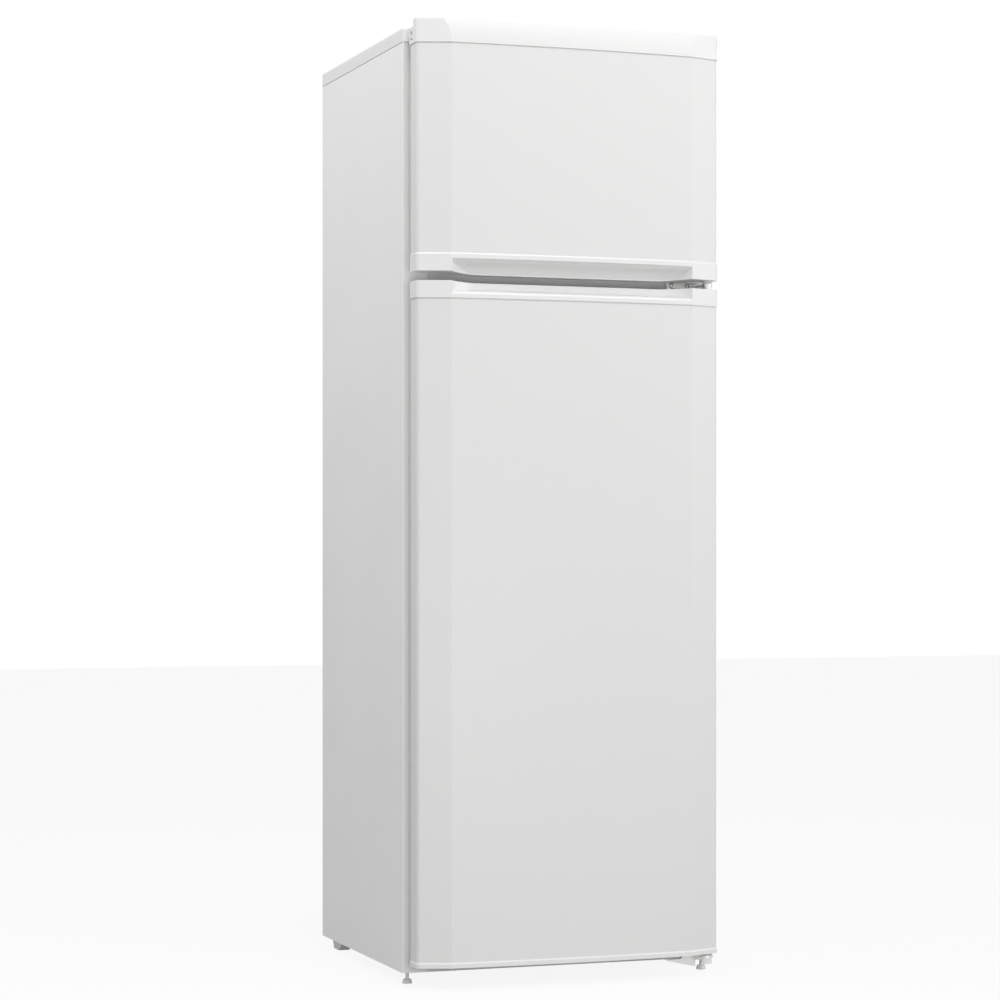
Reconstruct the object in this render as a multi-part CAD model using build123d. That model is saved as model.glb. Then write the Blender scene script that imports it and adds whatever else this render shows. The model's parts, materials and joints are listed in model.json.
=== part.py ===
from build123d import *
import os
from math import cos, radians, sin, tan

# Two-door refrigerator with the freezer on top, in millimetres.
# Origin: on the floor under the middle of the overall box. +Z is up, the doors face -Y,
# and +X is the hinge side, on the right of someone who stands in front.

# ---- Overall size -------------------------------------------------------------
OVERALL_WIDTH = 554.0
OVERALL_HEIGHT = 1600.0        # floor to the top of the freezer door
OVERALL_DEPTH = 580.0          # crown of the doors to the back of the condenser

# ---- Cabinet shell ------------------------------------------------------------
SHEET = 0.8                    # painted steel
FOOT_HEIGHT = 21.0             # floor to the cabinet's bottom
REAR_STANDOFF = 18.0           # room behind the cabinet for the condenser
WORKTOP_DROP = 11.5            # the worktop lies this far below the freezer door's top
WORKTOP_THICKNESS = 25.5
WORKTOP_OVERHANG = 5.0
WORKTOP_CORNER = 12.0
FRONT_LAND = 43.0              # width of the steel flange that the gasket grips
REAR_LAND = 14.0
RAIL_RETURN = 12.0

# ---- Insulation and liners ----------------------------------------------------
LINER = 1.2
FRIDGE_SIDE_WALL = 47.0
FRIDGE_BACK_WALL = 45.0
FRIDGE_BOTTOM_WALL = 45.0
FREEZER_SIDE_WALL = 55.0
FREEZER_BACK_WALL = 55.0
FREEZER_TOP_WALL = 53.0
MULLION_HEIGHT = 71.0          # between the two compartments
CAVITY_RADIUS = 14.0
LINER_LIP = 4.0                # liner edge that shows between opening and steel flange

# ---- Machine compartment ------------------------------------------------------
NICHE_DEPTH = 172.0
NICHE_HEIGHT = 194.0
NICHE_WALL = 35.0              # insulation between niche and fridge compartment
HUMP_SLOPE = 45.0

# ---- Doors --------------------------------------------------------------------
DOOR_INSET = 7.0               # door side from the cabinet side
DOOR_THICKNESS = 61.0          # at the crown
DOOR_GAP = 16.0                # door back to cabinet front, filled by the gasket
FREEZER_DOOR_HEIGHT = 419.2
DOOR_SPLIT = 15.7              # gap between the two doors
FRIDGE_DOOR_BOTTOM = 35.6
FACET_WIDTH = 55.5             # from the door's side to the crease where the crowned field starts
CROWN_RISE = 7.0
FACET_ANGLE = 18.6
DOOR_CORNER = 9.0
TRIM_PROUD = 1.3               # plastic trims stand out from the painted panel
CAP_HEIGHT = 45.3
CAP_SWEEP = 4.8                # the crowned field leans back this much at the top
CAP_SWEEP_HEIGHT = 38.0
CAP_EDGE = 6.0
CAP_STEP = (19.0, 16.0)        # depth and drop of the cap's low rear edge
PLUG_SIZE = (34.0, 15.0)       # width and depth of the blank in the cap's left corner
PLUG_RIM = (8.0, 3.0)          # its rim's reach over the door gap, and thickness
PLUG_GAP = 0.2
SEAM_HEIGHT = 1.6              # shadow line where a moulding overlaps the painted panel
SEAM_DEPTH = 2.4
TRIM_BEVEL = (1.2, 2.4)        # depth and height of the mouldings' sloping top edge
HANDLE_TRIM_HEIGHT = 30.0
BOTTOM_TRIM_HEIGHT = 9.1
DOOR_LINER = 1.5
DOOR_LINER_INSET = 4.0

# ---- Finger recess in the handle trims ----------------------------------------
POCKET_DEPTH = 34.0
POCKET_RAMP = 50.0             # length of each curved end
POCKET_SHIFT = 3.6             # the freezer's recess walls sit this much lower than the trim ends
LEDGE_SHIFT = 1.4              # and the fridge's recess walls this much
LIP_HEIGHT = 9.0
LEDGE_FRONT = 7.5

# ---- Gaskets ------------------------------------------------------------------
GASKET_WIDTH = 12.0
GASKET_WAIST = 3.5             # depth of the groove round its outside
GASKET_CLEARANCE = 0.3
GASKET_INSET = 2.0             # from the steel flange's inner edge

# ---- Door inner mouldings -----------------------------------------------------
DYKE_DEPTH = 44.0              # the raised rim that carries the door shelves
DYKE_WIDTH = 24.0
DYKE_CLEARANCE = 12.0          # to the compartment wall
DYKE_RADIUS = 10.0
SHELF_REACH = 100.0            # door shelves: depth from the door liner
SHELF_PLAY = 1.0
BIN_WALL = 2.2
LUG = 7.0

# ---- Hinges -------------------------------------------------------------------
HINGE_INSET = 23.0             # pin axis from the cabinet side
HINGE_FORWARD = 41.0           # pin axis in front of the cabinet
PIN_RADIUS = 4.0
PIN_RUNNING_GAP = 0.06
BUSH_RADIUS = 6.5
BOSS_RADIUS = 10.5
COLLAR_RADIUS = 8.0
COLLAR_GAP = 0.3
HINGE_PLATE = 4.0
MIDDLE_SCREW_RISE = 1.5        # the middle hinge's screws sit above the middle of the gap
PIN_ENGAGEMENT = 15.0
DOOR_SWING = 110.0             # how far the doors open, in degrees
EYE_RADIUS = 7.5
ARM_LEFT = 140.0               # directions of the top arm's edges, seen from the pin
ARM_RIGHT = 100.0
NOTCH_GAP = 0.8
NOTCH_HEIGHT = 18.0
SCREW_RADIUS = 2.4
SCREW_HEAD_RADIUS = 5.0
SCREW_HEAD = 2.6

# ---- Feet ---------------------------------------------------------------------
LEFT_FOOT = (16.5, 27.0)       # in from the cabinet side, and behind its front
RIGHT_FOOT = (12.5, 8.5)
STUD_RADIUS = 3.0
STUD_GAP = 0.3
STUD_LENGTH = 30.0             # above the pad
FOOT_PAD_RADIUS = 8.2
FOOT_PAD_HEIGHT = 7.0
FOOT_TRAVEL_UP = 8.0
SKID_WIDTH = 20.0
SKID_IN = 25.0                 # its middle from the cabinet side
SKID_SOLE = (25.0, 55.0)       # ahead of the cabinet back

# ---- Interior fittings --------------------------------------------------------
SHELF_COUNT = 3
SHELF_GLASS = 4.0
SHELF_BACK_SPACE = 56.0        # air behind the shelves
SHELF_TOP_SPACE = 215.0        # the spaces above, between and below the shelves, which share
SHELF_PITCH = 200.0            # the height from the roof to the crisper's cover
SHELF_LOW_SPACE = 281.45
SHELF_SIDE_GAP = 1.5
LEDGE_WIDTH = 10.0
LEDGE_HEIGHT = 4.0
CRISPER_HEIGHT = 165.0
CRISPER_GAP = 10.0             # between the door shelves and what stands behind them
CRISPER_WALL = 2.5
CRISPER_SIDE_GAP = 29.0        # the drawer passes beside the opened door
CRISPER_GUIDE = (26.0, 18.0)   # width and height of the floor guides beside the drawer
CRISPER_DRAFT = 14.0
FREEZER_SHELF_RISE = 150.0
EVAPORATOR = 2.0               # cooling plates behind the liners

# ---- Door shelves -------------------------------------------------------------
LOWEST_SHELF = 1.0             # above the dyke's rounded corner
SECOND_FREEZER_SHELF = 165.0   # above the dyke's lower edge
BOTTLE_SPACE = 350.0           # the spaces over the bottle shelf and under the dairy bin, and
MIDDLE_SPACE = 230.0           # the one between the middle shelves, share the height from the
DAIRY_SPACE = 202.45           # bottle shelf to the dairy bin
DAIRY_DROP = 230.0             # dairy compartment below the dyke's upper edge
DAIRY_HEIGHT = 95.0
LID_THICKNESS = 2.2
LID_SIDE_GAP = 1.0
LID_EAR = 3.0                  # thickness of the raised ends that hold the lid's pins
LID_PIN_RADIUS = 2.45

# ---- Thermostat, lamp and light switch ----------------------------------------
HOUSING_WIDTH = 34.0           # out from the compartment's wall
HOUSING_LENGTH = 192.0
HOUSING_HEIGHT = 80.0
HOUSING_DROP = 40.0            # below the compartment's roof
HOUSING_GAP = 4.0              # behind the door's dyke
KNOB_RADIUS = 19.0
KNOB_FROM_FRONT = 83.0
LAMP_FROM_FRONT = 146.0
SWITCH_GAP = 0.3

# ---- Machine compartment fittings ---------------------------------------------
COMPRESSOR_X = 40.0
COMPRESSOR_HALF_LENGTH = 74.0
COMPRESSOR_HALF_DEPTH = 66.0
COMPRESSOR_HEIGHT = 142.0
COMPRESSOR_FOOT = 3.0
CARRIER_THICKNESS = 2.0
CARRIER_HALF = 62.0
CARRIER_LIP = 12.0
STUB_LENGTH = 8.0              # pipe stubs, out from the pot's end
STUB_ROOT = 19.0               # and into it
GROMMET_HEIGHT = 12.0
GROMMET_HOLE = 5.0             # radius
TRAY_LENGTH = 230.0
TRAY_DEPTH = 120.0
TRAY_HEIGHT = 20.0
TRAY_WALL = 2.0
DRAIN_X = -70.0
DRAIN_FROM_BACK = 16.0
DRAIN_RADIUS = 6.0
DRAIN_WALL = 1.2
PIPE_BEND = 12.0
DRIER_X = -190.0
DRIER_RADIUS = 9.5
DRIER_LENGTH = 100.0

# ---- Condenser ----------------------------------------------------------------
CONDENSER_TUBE = 2.4           # radius
CONDENSER_RUNS = 13
CONDENSER_PITCH = 62.0
CONDENSER_HALF = 205.0
CONDENSER_WIRES = 21
WIRE = 1.5
WIRE_GAP = 0.05

# ---- Derived planes -----------------------------------------------------------
SIDE = OVERALL_WIDTH / 2
DOOR_WIDTH = OVERALL_WIDTH - 2 * DOOR_INSET
CREASE_X = DOOR_WIDTH / 2 - FACET_WIDTH
DOOR_FRONT = -OVERALL_DEPTH / 2
DOOR_BACK = DOOR_FRONT + DOOR_THICKNESS
CABINET_FRONT = DOOR_BACK + DOOR_GAP
CABINET_BACK = OVERALL_DEPTH / 2 - REAR_STANDOFF
CABINET_BOTTOM = FOOT_HEIGHT
WORKTOP_TOP = OVERALL_HEIGHT - WORKTOP_DROP
CABINET_TOP = WORKTOP_TOP - WORKTOP_THICKNESS

FREEZER_DOOR_BOTTOM = OVERALL_HEIGHT - FREEZER_DOOR_HEIGHT
FRIDGE_DOOR_TOP = FREEZER_DOOR_BOTTOM - DOOR_SPLIT
SPLIT_MIDDLE = (FREEZER_DOOR_BOTTOM + FRIDGE_DOOR_TOP) / 2

FREEZER_FLOOR = SPLIT_MIDDLE + MULLION_HEIGHT / 2
FREEZER_ROOF = CABINET_TOP - FREEZER_TOP_WALL
FREEZER_HALF = SIDE - FREEZER_SIDE_WALL
FREEZER_BACK = CABINET_BACK - FREEZER_BACK_WALL

FRIDGE_FLOOR = CABINET_BOTTOM + FRIDGE_BOTTOM_WALL
FRIDGE_ROOF = SPLIT_MIDDLE - MULLION_HEIGHT / 2
FRIDGE_HALF = SIDE - FRIDGE_SIDE_WALL
FRIDGE_BACK = CABINET_BACK - FRIDGE_BACK_WALL

NICHE_FRONT = CABINET_BACK - NICHE_DEPTH
NICHE_TOP = CABINET_BOTTOM + NICHE_HEIGHT
HUMP_FRONT = NICHE_FRONT - NICHE_WALL
HUMP_TOP = NICHE_TOP + NICHE_WALL

PIN_X = SIDE - HINGE_INSET
PIN_Y = CABINET_FRONT - HINGE_FORWARD
POCKET_BACK = DOOR_FRONT + POCKET_DEPTH
CREASE_Y = DOOR_FRONT + CROWN_RISE
CROWN_RADIUS = (CREASE_X**2 + CROWN_RISE**2) / (2 * CROWN_RISE)

FREEZER_PANEL = (FREEZER_DOOR_BOTTOM + HANDLE_TRIM_HEIGHT, OVERALL_HEIGHT - CAP_HEIGHT)
FRIDGE_PANEL = (FRIDGE_DOOR_BOTTOM + BOTTOM_TRIM_HEIGHT, FRIDGE_DOOR_TOP - HANDLE_TRIM_HEIGHT)

TOP_ARM_Z = (CABINET_TOP + 2.0, CABINET_TOP + 2.0 + HINGE_PLATE)
MIDDLE_ARM_Z = (SPLIT_MIDDLE - HINGE_PLATE / 2, SPLIT_MIDDLE + HINGE_PLATE / 2)
BOTTOM_ARM_Z = (FRIDGE_DOOR_BOTTOM - 8.0, FRIDGE_DOOR_BOTTOM - 8.0 + HINGE_PLATE)

SHELF_FRONT = DOOR_BACK + SHELF_REACH + CRISPER_GAP
CRISPER_COVER_Z = FRIDGE_FLOOR + CRISPER_HEIGHT + CRISPER_GAP
SHELF_SPACES = SHELF_TOP_SPACE + SHELF_PITCH * (SHELF_COUNT - 1) + SHELF_LOW_SPACE
SHELF_SHARE = (FRIDGE_ROOF - CRISPER_COVER_Z) / SHELF_SPACES
SHELF_LEVELS = [
    FRIDGE_ROOF - SHELF_SHARE * (SHELF_TOP_SPACE + SHELF_PITCH * i) for i in range(SHELF_COUNT)
]
FREEZER_SHELF_Z = FREEZER_FLOOR + FREEZER_SHELF_RISE

HOUSING_X = FRIDGE_HALF - HOUSING_WIDTH
HOUSING_FRONT = DOOR_BACK + DYKE_DEPTH + HOUSING_GAP
HOUSING_Y = (HOUSING_FRONT, HOUSING_FRONT + HOUSING_LENGTH)
HOUSING_Z = (FRIDGE_ROOF - HOUSING_DROP - HOUSING_HEIGHT, FRIDGE_ROOF - HOUSING_DROP)
KNOB_PLACE = (HOUSING_FRONT + KNOB_FROM_FRONT, sum(HOUSING_Z) / 2)
LAMP_PLACE = (HOUSING_FRONT + LAMP_FROM_FRONT, sum(HOUSING_Z) / 2)


class DoorInside:
    """Sizes of one door's liner, dyke and gasket, taken from the compartment it closes."""

    def __init__(self, half, floor, roof, liner_z):
        self.dyke_half = half - DYKE_CLEARANCE
        self.dyke_z = (floor + DYKE_CLEARANCE, roof - DYKE_CLEARANCE)
        self.liner_z = liner_z
        self.seal_z = (floor - LINER_LIP - GASKET_INSET, roof + LINER_LIP + GASKET_INSET)
        self.shelf_half = self.dyke_half - DYKE_WIDTH - SHELF_PLAY
        self.first_shelf = self.dyke_z[0] + DYKE_WIDTH + DYKE_RADIUS + LOWEST_SHELF


FREEZER_INSIDE = DoorInside(
    FREEZER_HALF,
    FREEZER_FLOOR,
    FREEZER_ROOF,
    (FREEZER_DOOR_BOTTOM + DOOR_LINER_INSET, FREEZER_PANEL[1]),
)
FRIDGE_INSIDE = DoorInside(
    FRIDGE_HALF,
    FRIDGE_FLOOR,
    FRIDGE_ROOF,
    (FRIDGE_DOOR_BOTTOM + DOOR_LINER_INSET, FRIDGE_DOOR_TOP - DOOR_LINER_INSET),
)
FREEZER_DOOR_SHELVES = [FREEZER_INSIDE.first_shelf, FREEZER_INSIDE.dyke_z[0] + SECOND_FREEZER_SHELF]
BOTTLE_SHELF_Z = FRIDGE_INSIDE.first_shelf
DAIRY_SHELF_Z = FRIDGE_INSIDE.dyke_z[1] - DAIRY_DROP
BIN_SHARE = (DAIRY_SHELF_Z - BOTTLE_SHELF_Z) / (BOTTLE_SPACE + MIDDLE_SPACE + DAIRY_SPACE)
MIDDLE_SHELVES = [BOTTLE_SHELF_Z + BIN_SHARE * rise for rise in (BOTTLE_SPACE, BOTTLE_SPACE + MIDDLE_SPACE)]


# ---- Shape helpers ------------------------------------------------------------
def block(x_span, y_span, z_span):
    """A box between two values on each axis."""
    spans = (x_span, y_span, z_span)
    centre = [(low + high) / 2 for low, high in spans]
    size = [high - low for low, high in spans]
    return Pos(*centre) * Box(*size)


def both_sides(x_span, y_span, z_span):
    """The same box on the left and on the right."""
    low, high = x_span
    return block((low, high), y_span, z_span) + block((-high, -low), y_span, z_span)


def polygon(*points):
    """A closed face through the points, in the drawing plane."""
    return make_face(Polyline(*points, close=True))


def along_x(face, x_span):
    """Extrudes a face drawn in (Y, Z) along X."""
    return Pos(x_span[0], 0, 0) * extrude(Plane.YZ * face, x_span[1] - x_span[0])


def along_y(face, y_span):
    """Extrudes a face drawn in (X, Z) along Y."""
    return Pos(0, y_span[1], 0) * extrude(Plane.XZ * face, y_span[1] - y_span[0])


def along_z(face, z_span):
    """Extrudes a face drawn in (X, Y) along Z."""
    return Pos(0, 0, z_span[0]) * extrude(face, z_span[1] - z_span[0])


def post(x, y, z_span, radius):
    """An upright cylinder."""
    return along_z(Pos(x, y) * Circle(radius), z_span)


def rounded(x_half, z_span, radius):
    """A rounded rectangle in (X, Z), centred on X = 0."""
    low, high = z_span
    return Pos(0, (low + high) / 2) * RectangleRounded(2 * x_half, high - low, radius)


# ---- Compartments -------------------------------------------------------------
def fridge_cavity(grow, front):
    """The fridge compartment, with the step over the machine compartment."""
    outline = polygon(
        (front, FRIDGE_FLOOR - grow),
        (HUMP_FRONT + grow, FRIDGE_FLOOR - grow),
        (HUMP_FRONT + grow, HUMP_TOP - HUMP_SLOPE - grow),
        (HUMP_FRONT + HUMP_SLOPE + grow, HUMP_TOP - grow),
        (FRIDGE_BACK + grow, HUMP_TOP - grow),
        (FRIDGE_BACK + grow, FRIDGE_ROOF + grow),
        (front, FRIDGE_ROOF + grow),
    )
    half = FRIDGE_HALF + grow
    solid = along_x(outline, (-half, half))
    return fillet(solid.edges().filter_by(Axis.Y), CAVITY_RADIUS + grow)


def freezer_cavity(grow, front):
    """The freezer compartment."""
    half = FREEZER_HALF + grow
    solid = block(
        (-half, half),
        (front, FREEZER_BACK + grow),
        (FREEZER_FLOOR - grow, FREEZER_ROOF + grow),
    )
    return fillet(solid.edges().filter_by(Axis.Y), CAVITY_RADIUS + grow)


def liner_lip(half, z_span):
    """The liner's edge on the cabinet front, between the opening and the steel flanges."""
    land = SIDE - FRONT_LAND
    low, high = z_span
    frame = block(
        (-land, land),
        (CABINET_FRONT, CABINET_FRONT + LINER),
        (low - LINER_LIP, high + LINER_LIP),
    )
    opening = fillet(
        block((-half, half), (CABINET_FRONT - 1, CABINET_FRONT + 5), z_span).edges().filter_by(Axis.Y),
        CAVITY_RADIUS,
    )
    return frame - opening


def fridge_liner():
    shell = fridge_cavity(LINER, CABINET_FRONT) - fridge_cavity(0, CABINET_FRONT - 5)
    liner = shell + liner_lip(FRIDGE_HALF, (FRIDGE_FLOOR, FRIDGE_ROOF))
    for level in [*SHELF_LEVELS, CRISPER_COVER_Z]:
        liner += shelf_ledges(level, FRIDGE_HALF, (SHELF_FRONT + 8, shelf_back(level) - 4))
    return liner + crisper_guides() - drain_bore()


def crisper_guides():
    """Two moulded plinths on the floor that keep the drawer straight."""
    width, height = CRISPER_GUIDE
    guides = both_sides(
        (FRIDGE_HALF - width, FRIDGE_HALF + 0.4),
        (SHELF_FRONT + 8, HUMP_FRONT - 12),
        (FRIDGE_FLOOR - 0.4, FRIDGE_FLOOR + height),
    )
    inner_edges = [e for e in guides.edges().filter_by(Axis.Y) if abs(e.center().X) < FRIDGE_HALF - 1]
    top_edges = [e for e in inner_edges if e.center().Z > FRIDGE_FLOOR + 1]
    return chamfer(top_edges, 8.0) & fridge_cavity(0.4, CABINET_FRONT)


def freezer_liner():
    shell = freezer_cavity(LINER, CABINET_FRONT) - freezer_cavity(0, CABINET_FRONT - 5)
    liner = shell + liner_lip(FREEZER_HALF, (FREEZER_FLOOR, FREEZER_ROOF))
    return liner + shelf_ledges(FREEZER_SHELF_Z, FREEZER_HALF, (SHELF_FRONT + 8, FREEZER_BACK - 6))


def shelf_back(level):
    """Where a fridge shelf ends: full shelves reach the back, the crisper cover the step."""
    if level > HUMP_TOP:
        return FRIDGE_BACK - SHELF_BACK_SPACE
    return HUMP_FRONT - 4


def shelf_ledges(level, half, y_span):
    """The two moulded ribs that carry a shelf."""
    return both_sides((half - LEDGE_WIDTH, half + 0.4), y_span, (level - LEDGE_HEIGHT, level))


# ---- Cabinet shell ------------------------------------------------------------
def side_panel(side):
    """One side of the cabinet: a sheet with returned flanges at the front and the back."""
    inner = SIDE - SHEET
    heights = (CABINET_BOTTOM, CABINET_TOP)
    sheet = block((inner, SIDE), (CABINET_FRONT, CABINET_BACK), heights)
    sheet += block((SIDE - FRONT_LAND, inner), (CABINET_FRONT, CABINET_FRONT + SHEET), heights)
    sheet += block((SIDE - REAR_LAND, inner), (CABINET_BACK - SHEET, CABINET_BACK), heights)
    sheet = fillet(outer_corners(sheet), 1.6)
    return sheet - middle_screw_bores() if side > 0 else mirror(sheet, Plane.YZ)


def outer_corners(sheet):
    """The two outside bends of a side sheet."""
    upright = sheet.edges().filter_by(Axis.Z)
    return [
        edge
        for edge in upright
        if edge.center().X > SIDE - 0.01
        and (abs(edge.center().Y - CABINET_FRONT) < 0.01 or abs(edge.center().Y - CABINET_BACK) < 0.01)
    ]


def top_panel():
    """The roof sheet, with a flange down the front that the freezer gasket grips."""
    inner = SIDE - SHEET
    roof = block(
        (-inner, inner),
        (CABINET_FRONT + SHEET, CABINET_BACK - SHEET),
        (CABINET_TOP - SHEET, CABINET_TOP),
    )
    land = SIDE - FRONT_LAND
    flange = block(
        (-land, land),
        (CABINET_FRONT, CABINET_FRONT + SHEET),
        (FREEZER_ROOF + LINER_LIP, CABINET_TOP),
    )
    panel = roof + flange
    for x, y in top_screw_places():
        panel -= post(x, y, (CABINET_TOP - 5, CABINET_TOP + 1), SCREW_RADIUS)
    return panel


def back_panel():
    inner = SIDE - REAR_LAND
    return block(
        (-inner, inner),
        (CABINET_BACK - SHEET, CABINET_BACK),
        (NICHE_TOP + SHEET, CABINET_TOP - SHEET),
    )


def base_panel():
    """The floor sheet in front of the machine compartment, turned up at the front."""
    inner = SIDE - SHEET
    floor = block(
        (-inner, inner),
        (CABINET_FRONT + SHEET, NICHE_FRONT),
        (CABINET_BOTTOM, CABINET_BOTTOM + SHEET),
    )
    land = SIDE - FRONT_LAND
    flange = block(
        (-land, land),
        (CABINET_FRONT, CABINET_FRONT + SHEET),
        (CABINET_BOTTOM, FRIDGE_FLOOR - LINER_LIP),
    )
    panel = floor + flange
    for x, y in front_foot_places():
        panel -= post(x, y, (CABINET_BOTTOM - 1, CABINET_BOTTOM + 5), STUD_RADIUS + STUD_GAP)
    for x, y in bottom_screw_places():
        panel -= post(x, y, (CABINET_BOTTOM - 1, CABINET_BOTTOM + 5), SCREW_RADIUS)
    return panel


def niche_panel():
    """The bent sheet that closes the insulation above and in front of the compressor."""
    inner = SIDE - SHEET
    riser = block(
        (-inner, inner),
        (NICHE_FRONT, NICHE_FRONT + SHEET),
        (CABINET_BOTTOM, NICHE_TOP),
    )
    roof = block(
        (-inner, inner),
        (NICHE_FRONT, CABINET_BACK - SHEET),
        (NICHE_TOP, NICHE_TOP + SHEET),
    )
    return riser + roof - drain_bore()


def centre_rail():
    """The steel rail between the doors, which both gaskets and the middle hinge use."""
    land = SIDE - FRONT_LAND
    low, high = FRIDGE_ROOF + LINER_LIP, FREEZER_FLOOR - LINER_LIP
    rail = block((-land, land), (CABINET_FRONT, CABINET_FRONT + SHEET), (low, high))
    for z_span in ((low, low + SHEET), (high - SHEET, high)):
        rail += block(
            (-land, land),
            (CABINET_FRONT + LINER, CABINET_FRONT + RAIL_RETURN),
            z_span,
        )
        rail += block((-land, land), (CABINET_FRONT, CABINET_FRONT + LINER), z_span)
    return rail - middle_screw_bores()


def cabinet_foam():
    """The rigid foam between the steel shell and the two liners."""
    inner = SIDE - SHEET
    foam = block(
        (-inner, inner),
        (CABINET_FRONT + SHEET, CABINET_BACK - SHEET),
        (CABINET_BOTTOM + SHEET, CABINET_TOP - SHEET),
    )
    foam -= block(
        (-inner - 1, inner + 1),
        (NICHE_FRONT, CABINET_BACK),
        (CABINET_BOTTOM, NICHE_TOP + SHEET),
    )
    foam -= fridge_cavity(LINER, CABINET_FRONT - 5)
    foam -= freezer_cavity(LINER, CABINET_FRONT - 5)
    foam -= liner_lip_room()
    foam -= centre_rail()
    foam -= evaporator_room()
    foam -= drain_bore()
    foam -= middle_screw_bores()
    for x, y in front_foot_places():
        foam -= post(x, y, (CABINET_BOTTOM, stud_top() + FOOT_TRAVEL_UP + 2), STUD_RADIUS + 1)
    for x, y in bottom_screw_places():
        foam -= post(x, y, (CABINET_BOTTOM, CABINET_BOTTOM + 11), SCREW_RADIUS)
    for x, y in top_screw_places():
        foam -= post(x, y, (CABINET_TOP - 11, CABINET_TOP), SCREW_RADIUS)
    return foam


def liner_lip_room():
    """The shallow step in the foam's front that the liner lips lie in."""
    land = SIDE - FRONT_LAND
    room = None
    for low, high in ((FRIDGE_FLOOR, FRIDGE_ROOF), (FREEZER_FLOOR, FREEZER_ROOF)):
        step = block(
            (-land, land),
            (CABINET_FRONT, CABINET_FRONT + LINER),
            (low - LINER_LIP, high + LINER_LIP),
        )
        room = step if room is None else room + step
    return room


def worktop():
    """The moulded plastic top, hollow below, with a slot for the top hinge's arm."""
    front = CABINET_FRONT - WORKTOP_OVERHANG
    depth = CABINET_BACK - front
    plan = Pos(0, front + depth / 2) * Rectangle(OVERALL_WIDTH, depth)
    plan = fillet(plan.vertices().group_by(Axis.Y)[0], WORKTOP_CORNER)
    top = along_z(plan, (CABINET_TOP, WORKTOP_TOP))
    top = fillet(top.faces().sort_by(Axis.Z)[-1].edges(), 4.0)
    rim = (CABINET_TOP - 1, CABINET_TOP + SEAM_HEIGHT)
    groove = offset(plan, amount=2) - offset(plan, amount=-SEAM_DEPTH)
    top -= along_z(groove, rim)
    wall = 2.5
    top -= block(
        (-SIDE + wall + 8, SIDE - wall - 8),
        (CABINET_FRONT + 6, CABINET_BACK - wall - 6),
        (CABINET_TOP - 1, WORKTOP_TOP - wall - 2),
    )
    return top - hinge_slot()


def hinge_slot():
    """The way out of the worktop's front for the top hinge's arm."""
    return block(
        (top_hinge_left() - 1, PIN_X + 15),
        (CABINET_FRONT - WORKTOP_OVERHANG - 1, CABINET_FRONT + 70),
        (CABINET_TOP - 1, TOP_ARM_Z[1] + 2),
    )


# ---- Machine compartment and condenser ----------------------------------------
def compressor_axis():
    """The middle of the compressor in plan."""
    return COMPRESSOR_X, (NICHE_FRONT + CABINET_BACK) / 2 + 6


def compressor_base():
    """The level on which the compressor's feet stand."""
    return CABINET_BOTTOM + CARRIER_THICKNESS + GROMMET_HEIGHT


def compressor_top():
    return compressor_base() + COMPRESSOR_FOOT + COMPRESSOR_HEIGHT


def base_carrier():
    """The steel cross member under the compressor, with the holes for its grommets."""
    y = compressor_axis()[1]
    inner = SIDE - SHEET
    top = CABINET_BOTTOM + CARRIER_THICKNESS
    carrier = block((-inner, inner), (y - CARRIER_HALF, y + CARRIER_HALF), (CABINET_BOTTOM, top))
    for edge in (y - CARRIER_HALF, y + CARRIER_HALF - CARRIER_THICKNESS):
        carrier += block((-inner, inner), (edge, edge + CARRIER_THICKNESS), (top, top + CARRIER_LIP))
    for gx, gy in grommet_places():
        carrier -= post(gx, gy, (CABINET_BOTTOM - 1, top + 1), GROMMET_HOLE)
    return carrier


def grommet_places():
    """Where the four rubber mounts stand, at the corners of the foot plate."""
    x, y = compressor_axis()
    along = COMPRESSOR_HALF_LENGTH + 8.0
    across = COMPRESSOR_HALF_DEPTH - 24.0
    return [(x + side * along, y + end * across) for side in (-1, 1) for end in (-1, 1)]


def compressor():
    """The welded steel pot: two drawn shells, a welded belt, a foot plate and stubs."""
    x, y = compressor_axis()
    base = compressor_base()
    pot = along_z(compressor_plan(0), (base + COMPRESSOR_FOOT, compressor_top()))
    rims = pot.faces().sort_by(Axis.Z)
    pot = fillet([*rims[0].edges(), *rims[-1].edges()], 34.0)
    middle = base + 0.6 * COMPRESSOR_HEIGHT
    pot += along_z(compressor_plan(3), (middle - 3, middle + 3))
    foot = RectangleRounded(2 * COMPRESSOR_HALF_LENGTH + 42, 2 * COMPRESSOR_HALF_DEPTH - 28, 12)
    pot += along_z(Pos(x, y) * foot, (base, base + COMPRESSOR_FOOT))
    pot += post(x, y, (base, base + 12), 48.0)
    root = x + COMPRESSOR_HALF_LENGTH - STUB_ROOT
    for stub_y, stub_z in compressor_stubs():
        stub = extrude(Circle(4.0), STUB_ROOT + STUB_LENGTH)
        pot += Pos(root, stub_y, stub_z) * Rot(0, 90, 0) * stub
    for gx, gy in grommet_places():
        pot -= post(gx, gy, (base - 1, base + COMPRESSOR_FOOT + 1), GROMMET_HOLE)
    return pot


def compressor_plan(grow):
    """Plan of the welded pot, nearly round at its two ends."""
    size = (2 * COMPRESSOR_HALF_LENGTH + 2 * grow, 2 * COMPRESSOR_HALF_DEPTH + 2 * grow)
    return Pos(*compressor_axis()) * RectangleRounded(*size, COMPRESSOR_HALF_DEPTH - 8 + grow)


def compressor_stubs():
    """(Y, Z) of the discharge and suction stubs on the pot's right side."""
    y = compressor_axis()[1]
    base = compressor_base()
    return [(y, base + 60), (y + 30, base + 105)]


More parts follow.
